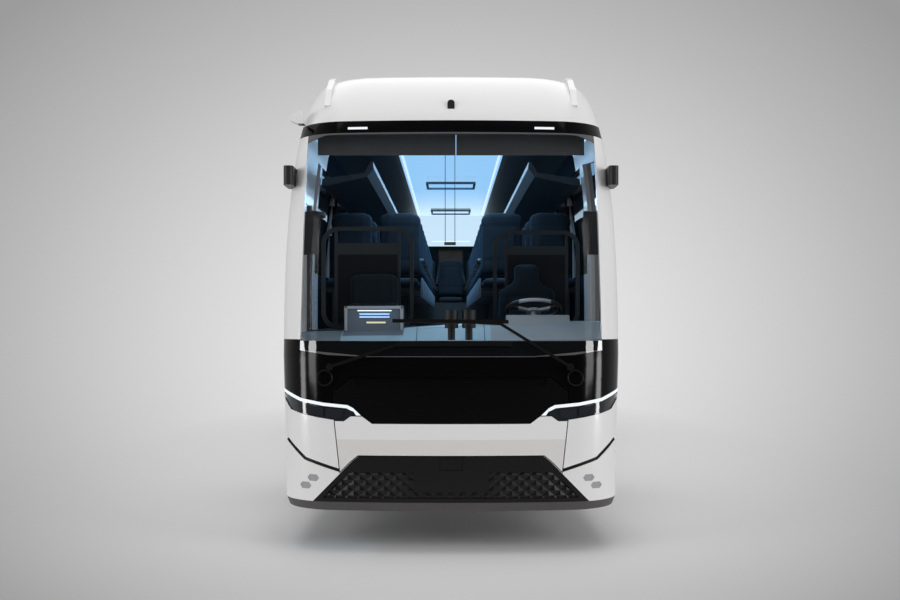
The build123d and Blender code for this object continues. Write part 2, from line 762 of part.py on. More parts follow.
for side, side_name in side_names:
    centre = side * front_wheel_x
    with BuildPart() as front_tyre:
        add(spun(tyre_section(centre), front_axle_at))
    save(front_tyre, f"front_tyre_{side_name}")
    front_hub = (centre - side * 20, centre + side * 95)
    with BuildPart() as front_rim:
        add(spun(rim_section(centre, centre + side * 40, -side * 40, front_hub, 42), front_axle_at))
        add(hand_holes(front_axle_at, side), mode=Mode.SUBTRACT)
    save(front_rim, f"front_rim_{side_name}")

    inner, outer = side * (twin_x - twin_pitch / 2), side * (twin_x + twin_pitch / 2)
    with BuildPart() as rear_tyres:
        add(spun(tyre_section(inner), rear_axle_at))
        add(spun(tyre_section(outer), rear_axle_at))
    save(rear_tyres, f"rear_tyres_{side_name}")
    with BuildPart() as rear_rims:
        hub = (side * (twin_x - 120), side * (twin_x + 150))
        add(spun(rim_section(inner, side * (twin_x - 8), -side * 50, hub, 64), rear_axle_at))
        add(spun(rim_section(outer, side * (twin_x + 8), side * 50, hub, 64), rear_axle_at))
        add(hand_holes(rear_axle_at, side), mode=Mode.SUBTRACT)
    save(rear_rims, f"rear_rims_{side_name}")
# ==== front door: outward swinging leaf on a post ========================
post_x, post_at, swing_radius = -1120, 870, 460
leaf_outline = rectangle((door_from, door_to), (skirt_bottom, door_top))
door_pane_outline = [(860, 1480), (1570, 1480), (1570, 2570), (860, 2570)]
arm_levels = (1000, 2520)
door_glass = common(screen_pane, side_prism(door_pane_outline, side=-1))
with BuildPart() as front_door:
    add(common(lower_panel, side_prism(leaf_outline, side=-1)))
    add(common(screen_wall, side_prism(leaf_outline, side=-1)))
    add(side_prism(door_pane_outline, side=-1, grow=-frame_margin), mode=Mode.SUBTRACT)
    add(door_glass, mode=Mode.SUBTRACT)
    for level in arm_levels:
        bracket_at = post_at + swing_radius
        add(box((-1235, post_x - 18), (bracket_at - 22, bracket_at + 22), (level + 38, level + 60)))
        with Locations((post_x, y_at(bracket_at), level + 38)):
            Cylinder(22, 22, align=(Align.CENTER, Align.CENTER, Align.MIN))
            Cylinder(9, 60, align=(Align.CENTER, Align.CENTER, Align.CENTER))
save(front_door, "front_door")

with BuildPart() as front_door_glass:
    add(door_glass)
save(front_door_glass, "front_door_glass")

with BuildPart() as front_door_arms:
    with Locations((post_x, y_at(post_at), sill + 6)):
        Cylinder(20, 2580 - sill, align=(Align.CENTER, Align.CENTER, Align.MIN))
    for level in arm_levels:
        start, end = (post_x, y_at(post_at)), (post_x, y_at(post_at + swing_radius))
        with BuildSketch(Plane.XY.offset(level)):
            with BuildLine():
                ThreePointArc(start, (post_x + 88, y_at(post_at + 0.45 * swing_radius)), end)
            trace(line_width=26)
            with Locations(start, end):
                Circle(22)
        extrude(amount=30)
        with Locations((post_x, y_at(post_at + swing_radius), level)):
            Cylinder(10, 100, mode=Mode.SUBTRACT)
save(front_door_arms, "front_door_arms")

# ==== cab ================================================================
binnacle_x = (430, 915)
binnacle_outline = [(600, 1680), (690, 1752), (800, 1745), (815, 1715), (775, 1640), (700, 1600)]
dash_outline = [
    (-50, 1385), (-50, 1500), (330, 1530), (560, 1680), (730, 1700), (770, 1670), (750, 1430), (660, 1385),
]
wheel_x, wheel_at, wheel_z, wheel_tilt = 673, 1150, 1770, 20
wheel_axis = Vector(0, sin(radians(wheel_tilt)), cos(radians(wheel_tilt)))
wheel_plane = Plane(origin=(wheel_x, y_at(wheel_at), wheel_z), x_dir=(1, 0, 0), z_dir=wheel_axis)
with BuildPart() as dashboard:
    with BuildSketch(Plane.YZ.offset(-wide)):
        with BuildLine():
            Polyline(*[(y_at(d), z) for d, z in dash_outline], close=True)
        make_face()
    extrude(amount=2 * wide)
    add(cabin_core, mode=Mode.INTERSECT)
    with BuildSketch(wheel_plane.offset(-60)):
        Circle(34)
    extrude(amount=-900)
    add(box((-wide, wide), (0, 3000), (0, platform)), mode=Mode.SUBTRACT)
    with BuildSketch(Plane.YZ.offset(binnacle_x[0])):
        with BuildLine():
            Polyline(*[(y_at(d), z) for d, z in binnacle_outline], close=True)
        make_face()
    extrude(amount=binnacle_x[1] - binnacle_x[0])
    for foot, radius, height in ((1500, 27, 125), (1622, 50, 134)):
        with BuildSketch(Plane.XY.offset(foot)):
            with Locations(*[(x, y_at(250)) for x in (3, 132)]):
                Circle(radius)
        extrude(amount=height)
    add(box((-818, -365), (560, 755), (1600, 1790)))
    add(box((-790, -393), (540, 560), (1690, 1765)), mode=Mode.SUBTRACT)
save(dashboard, "dashboard")

wheel_radius, grip = 232, 15
with BuildPart() as steering_wheel:
    with BuildSketch(Plane.XZ):
        with Locations((wheel_radius - grip, 0)):
            Circle(grip)
    revolve(axis=Axis.Z)
    with BuildSketch(Plane.XY.offset(-26)):
        Circle(62)
        for angle in (90, 210, 330):
            with Locations(Rot(0, 0, angle) * Location((120, 0))):
                Rectangle(200, 34)
    extrude(amount=20)
    with Locations((0, 0, -40)):
        Cylinder(22, 32)
steering_wheel.part = wheel_plane.location * steering_wheel.part
save(steering_wheel, "steering_wheel")


def seat_back(x, width, foot, top, lean, thickness, at, head=0.5, drop=0):
    """A back that leans from foot to top, its head a share of the width from drop under the top."""
    half, neck = width / 2, width * head
    right_side = [(half, foot), (half, top - 75), (half - 22, top - 22), (half - 75, top)]
    if drop > 0:
        shoulder = top - drop
        right_side = [(half, foot), (half, shoulder - 70), (neck, shoulder), (neck, top - 45), (neck - 45, top)]
    front_view = [(x + u, z) for u, z in right_side] + [(x - u, z) for u, z in reversed(right_side)]
    with BuildPart() as slab:
        with BuildSketch(Plane.YZ.offset(x - half)):
            with BuildLine():
                Polyline(
                    (y_at(at), foot), (y_at(at + thickness), foot), (y_at(at + lean + thickness - 30), top - 30),
                    (y_at(at + lean + thickness - 50), top), (y_at(at + lean), top), close=True,
                )
            make_face()
        extrude(amount=width)
        with BuildSketch(Plane.XZ.offset(-y_at(at + lean + thickness))):
            with BuildLine():
                Polyline(*front_view, close=True)
            make_face()
        extrude(amount=lean + thickness, mode=Mode.INTERSECT)
    return slab.part


with BuildPart() as crew_seats:
    driver = [
        box((wheel_x - 170, wheel_x + 170), (1560, 1900), (platform, 1330)),
        box((wheel_x - 245, wheel_x + 245), (1460, 1900), (1330, 1450)),
        seat_back(wheel_x, 480, 1450, 2230, 110, 110, 1880, head=0.27, drop=170),
    ]
    guide = [
        box((-890, -430), (1596, 1659), (1400, 2110)),
        box((-890, -430), (1530, 1594), (1440, 1860)),
    ]
    add([*driver, *guide])
save(crew_seats, "crew_seats")

# ==== passenger cabin ====================================================
seat_width = 450
seat_x = (500, 974)
row_at = [2950 + 780 * row for row in range(11)]
bench_at = 11500
cushion_z, back_top = (1985, 2080), 2775
seats, frames = [], []
for at in row_at:
    for side in (1, -1):
        for x in seat_x:
            cushion_x = (side * x - seat_width / 2, side * x + seat_width / 2)
            seats.append(box(cushion_x, (at - 450, at + 10), cushion_z))
            seats.append(seat_back(side * x, seat_width, cushion_z[1] + 2, back_top, 120, 100, at - 10))
        rail = sorted((side * 290, side * 1180))
        frames.append(box(rail, (at - 380, at - 60), (cushion_z[0] - 35, cushion_z[0])))
        for x in (600, 1100):
            frames.append(box((side * x - 22, side * x + 22), (at - 330, at - 60), (podium, cushion_z[0] - 35)))
        frames.append(box(sorted((side * 240, side * 275)), (at - 330, at + 60), (2205, 2245)))
for x in (-948, -474, 0, 474, 948):
    seats.append(box((x - seat_width / 2, x + seat_width / 2), (bench_at - 450, bench_at + 10), cushion_z))
    seats.append(seat_back(x, seat_width, cushion_z[1] + 2, back_top, 120, 100, bench_at - 10))
frames.append(box((-1170, -aisle_half), (bench_at - 400, bench_at), (podium, cushion_z[0])))
frames.append(box((aisle_half, 1170), (bench_at - 400, bench_at), (podium, cushion_z[0])))
frames.append(box((-aisle_half, aisle_half), (bench_at - 400, bench_at), (aisle_floor, cushion_z[0])))
with BuildPart() as passenger_seats:
    add(seats)
save(passenger_seats, "passenger_seats")
with BuildPart() as seat_frames:
    add(frames)
save(seat_frames, "seat_frames")

partition_places = ((770, 2115, 780), (-722, 1712, 800))    # middle X, distance behind nose, width
tube, partition_height, inner_half = 34, 890, 273
with BuildPart() as partitions:
    for x, at, width in partition_places:
        middle_z = podium + partition_height / 2
        with BuildSketch(Plane.XZ.offset(-y_at(at))):
            with Locations((x, middle_z)):
                RectangleRounded(width, partition_height, 150)
                RectangleRounded(width - 2 * tube, partition_height - 2 * tube, 120, mode=Mode.SUBTRACT)
        extrude(amount=-36)
        with BuildSketch(Plane.XZ.offset(-y_at(at + 8))):
            for post in (x - inner_half, x + inner_half):
                with Locations((post, middle_z)):
                    Rectangle(26, partition_height - tube)
        extrude(amount=-20)
        with BuildSketch(Plane.XZ.offset(-y_at(at + 12))):
            with Locations((x, podium + 60 + 345)):
                Rectangle(2 * inner_half, 690)
        extrude(amount=-12)
save(partitions, "partitions")

with BuildPart() as shell_core:
    add(cabin_core)
    add(hull(dome_sections, wall, wall))
inner_core = shell_core.part


def lining(outline, start, end):
    with BuildPart() as run:
        with BuildSketch(Plane.XZ.offset(-y_at(start))):
            with BuildLine():
                Polyline(*outline, close=True)
            make_face()
        extrude(amount=start - end)
        add(inner_core, mode=Mode.INTERSECT)
    return run.part


rack_outline = [
    (wide, 2900), (1120, 2905), (760, 2985), (700, 3060), (706, 3120), (730, 3120), (785, 3020), (wide, 2935),
]
ceiling_end = [(11100, 3472), (11100, 3488), (11300, 3480), (11720, 2985), (11705, 2972), (11285, 3462)]
ceiling_half = [
    (0, 3470), (540, 3470), (600, 3440), (930, 3330), (wide, 3130),
    (wide, 3150), (935, 3350), (606, 3460), (545, 3490), (0, 3490),
]
with BuildPart() as ceiling:
    add(lining(mirrored(ceiling_half), 1350, 11300))
    with Locations(*[(0, y_at(place), 3480) for place in hatch_at]):
        Box(hatch_hole, hatch_hole, 200, mode=Mode.SUBTRACT)
    with BuildSketch(Plane.YZ.offset(-545)):
        with BuildLine():
            Polyline(*[(y_at(d), z) for d, z in ceiling_end], close=True)
        make_face()
    extrude(amount=1090)
    add(lining(rack_outline, 2200, 11600))
    add(lining(flipped(rack_outline), 2200, 11600))
save(ceiling, "ceiling_and_racks")

blind_z = (2956, 3120)
with BuildPart() as sun_blinds:
    for start, end in ((-1030, 35), (41, 1030)):
        add(box((start, end), (662, 666), blind_z))
        with BuildSketch(Plane.YZ.offset(start)):
            with Locations((y_at(664), 3125)):
                Circle(19)
        extrude(amount=end - start)
    for x in (-45, 30):
        with Locations((x, y_at(664), 2620)):
            Cylinder(2.5, 680)
    add(box((-52, 37), (652, 676), (2262, 2285)))
    for x in (-1000, 40, 980):
        add(common(box((x - 22, x + 22), (300, 664), (3115, 3135)), cabin_core))
save(sun_blinds, "sun_blinds")
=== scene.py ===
import math

import bmesh
import bpy
from mathutils import Matrix, Vector


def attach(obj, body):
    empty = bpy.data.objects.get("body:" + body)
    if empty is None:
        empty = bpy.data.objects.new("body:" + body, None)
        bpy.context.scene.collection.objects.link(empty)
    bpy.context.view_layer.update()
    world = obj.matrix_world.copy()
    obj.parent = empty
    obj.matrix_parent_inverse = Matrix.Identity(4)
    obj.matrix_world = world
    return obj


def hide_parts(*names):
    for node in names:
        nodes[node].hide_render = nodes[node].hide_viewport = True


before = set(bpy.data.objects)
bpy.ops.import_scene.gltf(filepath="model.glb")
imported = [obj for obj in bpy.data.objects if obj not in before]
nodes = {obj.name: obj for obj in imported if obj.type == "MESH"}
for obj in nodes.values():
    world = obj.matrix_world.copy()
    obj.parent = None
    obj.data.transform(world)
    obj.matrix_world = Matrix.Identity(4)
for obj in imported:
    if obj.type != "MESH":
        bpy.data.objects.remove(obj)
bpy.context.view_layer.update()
scene = bpy.context.scene
print("frame loaded", len(nodes), "nodes")


def toObject(name, data):
    thing = bpy.data.objects.new(name, data)
    scene.collection.objects.link(thing)
    return thing


# the camera looks level along +Y, and its shifts set the row of the horizon and the middle column
cameraPlan = {
    "place": (-0.004, -14.25, 1.675), "lens": 45.84, "sensor": 36.0, "reach": 100,
    "size": (900, 600), "middleColumn": 450.5, "horizonRow": 321.0,
}
imageWidth, imageHeight = cameraPlan["size"]
cameraData = bpy.data.cameras.new("camera")
camera = toObject("camera", cameraData)
scene.camera = camera
camera.location = cameraPlan["place"]
camera.rotation_euler = (math.pi / 2, 0, 0)
cameraData.lens = cameraPlan["lens"]
cameraData.sensor_width = cameraPlan["sensor"]
cameraData.shift_x = (imageWidth / 2 - cameraPlan["middleColumn"]) / imageWidth
cameraData.shift_y = (cameraPlan["horizonRow"] - imageHeight / 2) / imageWidth
cameraData.clip_end = cameraPlan["reach"]


def putIn(tree, socket, value):  # another node's output is linked, a plain value is set
    if hasattr(value, "is_linked"):
        tree.links.new(value, socket)
    else:
        socket.default_value = value


def mathNode(tree, kind, *values):
    node = tree.nodes.new("ShaderNodeMath")
    node.operation = kind
    for socket, value in zip(node.inputs, values):
        putIn(tree, socket, value)
    return node.outputs[0]


def vectorNode(tree, kind, *values):
    node = tree.nodes.new("ShaderNodeVectorMath")
    node.operation = kind
    for socket, value in zip(node.inputs, values):
        putIn(tree, socket, value)
    return node.outputs["Value" if kind == "LENGTH" else "Vector"]


def combine(tree, kind, parts):  # the same operation over a whole list
    total = parts[0]
    for part in parts[1:]:
        total = mathNode(tree, kind, total, part)
    return total


def mixColors(tree, share, first, second):
    mix = tree.nodes.new("ShaderNodeMix")
    mix.data_type = "RGBA"
    for index, value in ((0, share), (6, first), (7, second)):
        putIn(tree, mix.inputs[index], value)
    return mix.outputs[2]


def splitAxes(tree, vector):
    node = tree.nodes.new("ShaderNodeSeparateXYZ")
    putIn(tree, node.inputs[0], vector)
    return node.outputs


def addNoise(tree, place, scale, detail=2):
    node = tree.nodes.new("ShaderNodeTexNoise")
    node.inputs["Detail"].default_value = detail
    putIn(tree, node.inputs["Vector"], place)
    putIn(tree, node.inputs["Scale"], scale)
    return node.outputs["Fac"]


def mapSpan(tree, value, low, high):  # 0 at low, 1 at high, and held beyond them
    node = tree.nodes.new("ShaderNodeMapRange")
    putIn(tree, node.inputs["Value"], value)
    node.inputs["From Min"].default_value = low
    node.inputs["From Max"].default_value = high
    return node.outputs["Result"]


def newGroup(name, inputs, outputs):
    group = bpy.data.node_groups.new(name, "ShaderNodeTree")
    for label, kind, value in inputs:
        socket = group.interface.new_socket(label, in_out="INPUT", socket_type="NodeSocket" + kind)
        if value is not None:
            socket.default_value = value
    for label, kind in outputs:
        group.interface.new_socket(label, in_out="OUTPUT", socket_type="NodeSocket" + kind)
    source, target = group.nodes.new("NodeGroupInput"), group.nodes.new("NodeGroupOutput")
    return group, source.outputs, target.inputs


def makeMottleGroup():  # uneven tint and roughness for painted and moulded surfaces
    group, given, result = newGroup(
        "mottle",
        [("Vector", "Vector", None), ("Scale", "Float", 3.0),
         ("Color", "Color", (0.8, 0.8, 0.8, 1)), ("Shade", "Float", 0.06),
         ("Roughness", "Float", 0.4), ("Spread", "Float", 0.06)],
        [("Color", "Color"), ("Roughness", "Float"), ("Height", "Float")],
    )
    grainScale = mathNode(group, "MULTIPLY", given["Scale"], 40.0)
    patches = addNoise(group, given["Vector"], given["Scale"], 5)
    grain = addNoise(group, given["Vector"], grainScale, 3)
    uneven = mathNode(group, "SUBTRACT", patches, 0.5)
    bright = group.nodes.new("ShaderNodeHueSaturation")
    shade = mathNode(group, "MULTIPLY_ADD", uneven, given["Shade"], 1.0)
    putIn(group, bright.inputs["Value"], shade)
    putIn(group, bright.inputs["Color"], given["Color"])
    roughness = mathNode(group, "MULTIPLY_ADD", uneven, given["Spread"], given["Roughness"])
    putIn(group, result["Color"], bright.outputs["Color"])
    putIn(group, result["Roughness"], roughness)
    putIn(group, result["Height"], grain)
    return group


def makeWeaveGroup():  # crossed threads, in X + Y and in Z
    group, given, result = newGroup(
        "weave",
        [("Vector", "Vector", None), ("Pitch", "Float", 0.004),
         ("Color", "Color", (0.1, 0.1, 0.1, 1)), ("Thread", "Color", (0.2, 0.2, 0.2, 1))],
        [("Color", "Color"), ("Height", "Float")],
    )
    axes = splitAxes(group, given["Vector"])
    waves = []
    for way in (mathNode(group, "ADD", axes["X"], axes["Y"]), axes["Z"]):
        turns = mathNode(group, "DIVIDE", way, given["Pitch"])
        waves.append(mathNode(group, "SINE", mathNode(group, "MULTIPLY", turns, math.tau)))
    crossed = combine(group, "MULTIPLY", waves)
    height = mathNode(group, "MULTIPLY_ADD", crossed, 0.5, 0.5)
    wear = mathNode(group, "ADD", addNoise(group, given["Vector"], 9), 0.3)
    share = mathNode(group, "MULTIPLY", height, wear)
    putIn(group, result["Color"], mixColors(group, share, given["Color"], given["Thread"]))
    putIn(group, result["Height"], height)
    return group


def makeBoxMaskGroup():  # 1 inside a box of the object's own coordinates
    group, given, result = newGroup(
        "boxMask", [("Vector", "Vector", None), ("Low", "Vector", None), ("High", "Vector", None)],
        [("Mask", "Float")],
    )
    axes, low, high = [splitAxes(group, given[label]) for label in ("Vector", "Low", "High")]
    tests = []
    for axis in range(3):
        tests.append(mathNode(group, "GREATER_THAN", axes[axis], low[axis]))
        tests.append(mathNode(group, "LESS_THAN", axes[axis], high[axis]))
    putIn(group, result["Mask"], combine(group, "MULTIPLY", tests))
    return group


def makeEdgeMaskGroup():  # 1 above a line that is level for |x| < Half and rises at Slope beyond it
    group, given, result = newGroup(
        "edgeMask",
        [("Vector", "Vector", None), ("Half", "Float", 0.5), ("Foot", "Float", 1.0),
         ("Slope", "Float", 0.5)],
        [("Mask", "Float")],
    )
    axes = splitAxes(group, given["Vector"])
    aside = mathNode(group, "SUBTRACT", mathNode(group, "ABSOLUTE", axes["X"]), given["Half"])
    beyond = mathNode(group, "MAXIMUM", aside, 0.0)
    edge = mathNode(group, "MULTIPLY_ADD", beyond, given["Slope"], given["Foot"])
    putIn(group, result["Mask"], mathNode(group, "GREATER_THAN", axes["Z"], edge))
    return group


# up, down and side are slopes from the eye, measured from the slope of the middle; a stop at 0.5
# is as far out as they are
fadePlan = {
    "middle": -0.0253, "up": 0.297, "down": 0.225, "side": 0.384,
    "stops": [(0.0, 0.83), (0.1, 0.805), (0.205, 0.745), (0.305, 0.664), (0.4, 0.581),
              (0.5, 0.49), (0.705, 0.33), (1.0, 0.40)],
}


def makeFadeGroup():  # a studio backdrop: pale behind the coach and darker towards the corners
    group, given, result = newGroup(
        "studioFade", [("Vector", "Vector", None)], [("Color", "Color")])
    axes = splitAxes(group, given["Vector"])
    ahead = mathNode(group, "MAXIMUM", axes["Y"], 0.001)
    across = mathNode(group, "DIVIDE", axes["X"], ahead)
    rise = mathNode(group, "DIVIDE", axes["Z"], ahead)
    height = mathNode(group, "SUBTRACT", rise, fadePlan["middle"])
    above = mathNode(group, "MAXIMUM", height, 0.0)
    below = mathNode(group, "MINIMUM", height, 0.0)
    squares = []
    for way, span in ((across, "side"), (above, "up"), (below, "down")):
        reach = mathNode(group, "DIVIDE", way, fadePlan[span])
        squares.append(mathNode(group, "MULTIPLY", reach, reach))
    away = mathNode(group, "SQRT", combine(group, "ADD", squares))
    ramp = group.nodes.new("ShaderNodeValToRGB")
    putIn(group, ramp.inputs[0], mathNode(group, "DIVIDE", away, 2.0))
    stops = fadePlan["stops"]
    elements = ramp.color_ramp.elements
    for element, (position, level) in zip(elements, (stops[0], stops[-1])):
        element.position, element.color = position, (level, level, level, 1)
    for position, level in stops[1:-1]:
        elements.new(position).color = (level, level, level, 1)
    putIn(group, result["Color"], ramp.outputs["Color"])
    return group


mottle, weave, studioFade = makeMottleGroup(), makeWeaveGroup(), makeFadeGroup()
boxMask, edgeMask = makeBoxMaskGroup(), makeEdgeMaskGroup()


def placeGroup(tree, group, **values):
    node = tree.nodes.new("ShaderNodeGroup")
    node.node_tree = group
    for label, value in values.items():
        putIn(tree, node.inputs[label], value)
    return node.outputs


def inBox(tree, place, low, high):
    return placeGroup(tree, boxMask, Vector=place, Low=low, High=high)["Mask"]


def aboveEdge(tree, place, half, foot, slope):
    return placeGroup(tree, edgeMask, Vector=place, Half=half, Foot=foot, Slope=slope)["Mask"]


def startMaterial(name, looks):  # looks are values for the shader's own inputs
    material = bpy.data.materials.new(name)
    material.use_nodes = True
    tree = material.node_tree
    shader = tree.nodes["Principled BSDF"]
    for label, value in looks.items():
        shader.inputs[label].default_value = value
    place = tree.nodes.new("ShaderNodeTexCoord").outputs["Object"]
    return material, tree, shader.inputs, place


def addBump(tree, inputs, height, strength, distance):
    bump = tree.nodes.new("ShaderNodeBump")
    bump.inputs["Strength"].default_value = strength
    bump.inputs["Distance"].default_value = distance
    putIn(tree, bump.inputs["Height"], height)
    putIn(tree, inputs["Normal"], bump.outputs["Normal"])


def mottledMaterial(name, color, roughness, shade=0.06, spread=0.06, scale=3.0, bump=0.05,
                    grain=0.0004, metallic=0.0, coat=0.0, specular=0.5, masks=(), edges=(),
                    dull=False):  # masks and edges paint parts of it, and dull masks have no gloss
    material, tree, inputs, place = startMaterial(
        name, {"Metallic": metallic, "Specular IOR Level": specular, "Coat Weight": coat})
    base = placeGroup(tree, mottle, Vector=place, Scale=scale, Color=(*color, 1), Shade=shade,
                      Roughness=roughness, Spread=spread)
    colorOut = base["Color"]
    covers = []
    for low, high, paint in masks:
        covers.append(inBox(tree, place, low, high))
        colorOut = mixColors(tree, covers[-1], colorOut, (*paint, 1))
    for half, foot, slope, paint in edges:
        cover = aboveEdge(tree, place, half, foot, slope)
        colorOut = mixColors(tree, cover, colorOut, (*paint, 1))
    putIn(tree, inputs["Base Color"], colorOut)
    putIn(tree, inputs["Roughness"], base["Roughness"])
    if coat:
        inputs["Coat Roughness"].default_value = 0.04
    if dull:
        shine = mathNode(tree, "SUBTRACT", 1.0, combine(tree, "MAXIMUM", covers))
        for label, level in (("Specular IOR Level", specular), ("Coat Weight", coat)):
            putIn(tree, inputs[label], mathNode(tree, "MULTIPLY", shine, level))
    if bump:
        addBump(tree, inputs, base["Height"], bump, grain)
    return material


glassPlan = {"blend": 0.25, "edge": 0.9, "roughness": 0.02, "smear": 0.02, "smearScale": 1.5}


def glassMaterial(name, tint, clear, masks=(), lines=()):  # masks and lines are not seen through
    material, tree, inputs, place = startMaterial(name, {"Specular IOR Level": 0.8})
    weight = tree.nodes.new("ShaderNodeLayerWeight")
    weight.inputs["Blend"].default_value = glassPlan["blend"]
    fresnel, solid = weight.outputs["Fresnel"], 1 - clear
    alpha = mathNode(tree, "MULTIPLY_ADD", fresnel, glassPlan["edge"] * solid, solid)
    colorOut = (*tint, 1)
    for low, high in masks:
        alpha = mathNode(tree, "MAXIMUM", alpha, inBox(tree, place, low, high))
    for lower, upper, paint in lines:  # a thin line between two edges, each (half, foot, slope)
        ends = [aboveEdge(tree, place, *edge) for edge in (lower, upper)]
        line = combine(tree, "SUBTRACT", ends)
        alpha = mathNode(tree, "MAXIMUM", alpha, line)
        colorOut = mixColors(tree, line, colorOut, (*paint, 1))
    smear = addNoise(tree, place, glassPlan["smearScale"])
    roughness = mathNode(tree, "MULTIPLY_ADD", smear, glassPlan["smear"], glassPlan["roughness"])
    putIn(tree, inputs["Base Color"], colorOut)
    putIn(tree, inputs["Alpha"], mathNode(tree, "MINIMUM", alpha, 1.0))
    putIn(tree, inputs["Roughness"], roughness)
    return material


def glowMaterial(name, color, strength, base=(0.8, 0.8, 0.8), span=None, far=None):
    material, tree, inputs, place = startMaterial(name, {"Emission Strength": strength})
    look = placeGroup(tree, mottle, Vector=place, Scale=4.0, Color=(*base, 1), Shade=0.05,
                      Roughness=0.4, Spread=0.05)
    putIn(tree, inputs["Base Color"], look["Color"])
    putIn(tree, inputs["Roughness"], look["Roughness"])
    glow = (*color, 1)
    if span:  # painted light: it glows inside its box alone, and the glow changes to another colour along Y
        nearY, farY, farColor = far
        reach = mapSpan(tree, splitAxes(tree, place)["Y"], nearY, farY)
        changing = mixColors(tree, reach, glow, (*farColor, 1))
        glow = mixColors(tree, inBox(tree, place, *span), (0, 0, 0, 1), changing)
    putIn(tree, inputs["Emission Color"], glow)
    return material


clothLooks = {"Roughness": 0.85, "Sheen Weight": 0.5, "Sheen Roughness": 0.35,
              "Sheen Tint": (0.12, 0.42, 0.75, 1)}


def wovenMaterial(name, color, thread, pitch=0.004):
    material, tree, inputs, place = startMaterial(name, clothLooks)
    cloth = placeGroup(tree, weave, Vector=place, Pitch=pitch, Color=(*color, 1),
                       Thread=(*thread, 1))
    putIn(tree, inputs["Base Color"], cloth["Color"])
    addBump(tree, inputs, cloth["Height"], 0.3, 0.001)
    return material


blackPaint = (0.0025, 0.0025, 0.003)
whitePaint = (0.80, 0.79, 0.795)
# the next colour is painted shade, for the flap below its crease
paintedCreaseShade = (0.71, 0.69, 0.685)
seamPaint = (0.02, 0.02, 0.021)
gasketPaint = (0.10, 0.10, 0.105)
liningPaint = (0.014, 0.022, 0.032)
rearLiningPaint = (0.012, 0.022, 0.016)
panelPaint = (0.004, 0.008, 0.013)
glassTint = (0.004, 0.005, 0.006)
# the ceiling panel's glow colour is painted light, since the panel is no lamp
ceilingPaintedLight = (0.30, 0.60, 0.95)

# boxes that hold the inner faces of the walls and never reach the outer ones
wallSteps = [  # half width, from z, to z
    (1.245, 1.42, 2.55), (1.215, 2.55, 2.85), (1.19, 2.85, 3.05), (1.165, 3.05, 3.17),
    (1.14, 3.17, 3.30), (1.098, 3.30, 3.45),
]
rearSteps = [(5.985, 1.42, 2.2), (5.968, 2.2, 2.6), (5.943, 2.6, 2.99)]  # to y, from z, to z
wallFrom, wallTo, rearHalf = -3.65, 5.4, 1.05
liningMasks = [((-half, wallFrom, low), (half, wallTo, high), liningPaint)
               for half, low, high in wallSteps]
liningMasks += [((-rearHalf, wallTo, low), (rearHalf, back, high), rearLiningPaint)
                for back, low, high in rearSteps]
flapMasks = [  # low corner, high corner, paint
    ((-0.9, -7, 1.068), (0.9, -5, 1.3), blackPaint),  # above the day lights
    ((-0.9, -7, 0.4), (0.9, -5, 0.822), paintedCreaseShade),  # painted shade below the crease, where the lower face catches less light
]
dashMasks = [
    ((-1.3, -6, 1.3), (-0.83, -4, 1.8), (0.13, 0.18, 0.21)),  # kerb end
    ((0.30, -6, 1.3), (1.3, -4, 1.8), (0.22, 0.27, 0.31)),  # driver's side
    ((-0.17, -5.85, 1.535), (0.2, -5.74, 1.8), (0.004, 0.004, 0.005)),  # sensor columns
    ((-0.82, -5.6, 1.55), (-0.36, -5.2, 1.8), (0.10, 0.14, 0.19)),  # console
    ((-0.262, -6, 1.4), (-0.256, -5.3, 1.8), seamPaint),
    ((0.25, -6, 1.4), (0.256, -5.3, 1.8), seamPaint),
    ((-0.9, -5.705, 1.4), (1.2, -5.699, 1.66), seamPaint),
]
partitionMasks = [((0.51, -5, 1.64), (1.03, -3, 2.27), panelPaint),
                  ((-0.98, -5, 1.64), (-0.46, -3, 2.25), panelPaint)]
lensMasks = [
    ((-2, -7, 0.4), (2, -4, 0.75), (0.35, 0.36, 0.38)),  # fog lamps
    ((-2, 5, 0.7), (2, 7, 1.02), (0.45, 0.01, 0.01)),  # tail and stop
    ((-2, 5, 1.02), (2, 7, 1.14), (0.6, 0.6, 0.62)),  # reversing
    ((-2, 5, 1.14), (2, 7, 1.4), (0.65, 0.2, 0.02)),  # indicators
]
screenLines = [((0.6, 1.40, 0.09), (0.6, 1.419, 0.09), gasketPaint),
               ((0.95, 3.082, -0.3), (0.95, 4.0, 0.0), gasketPaint)]
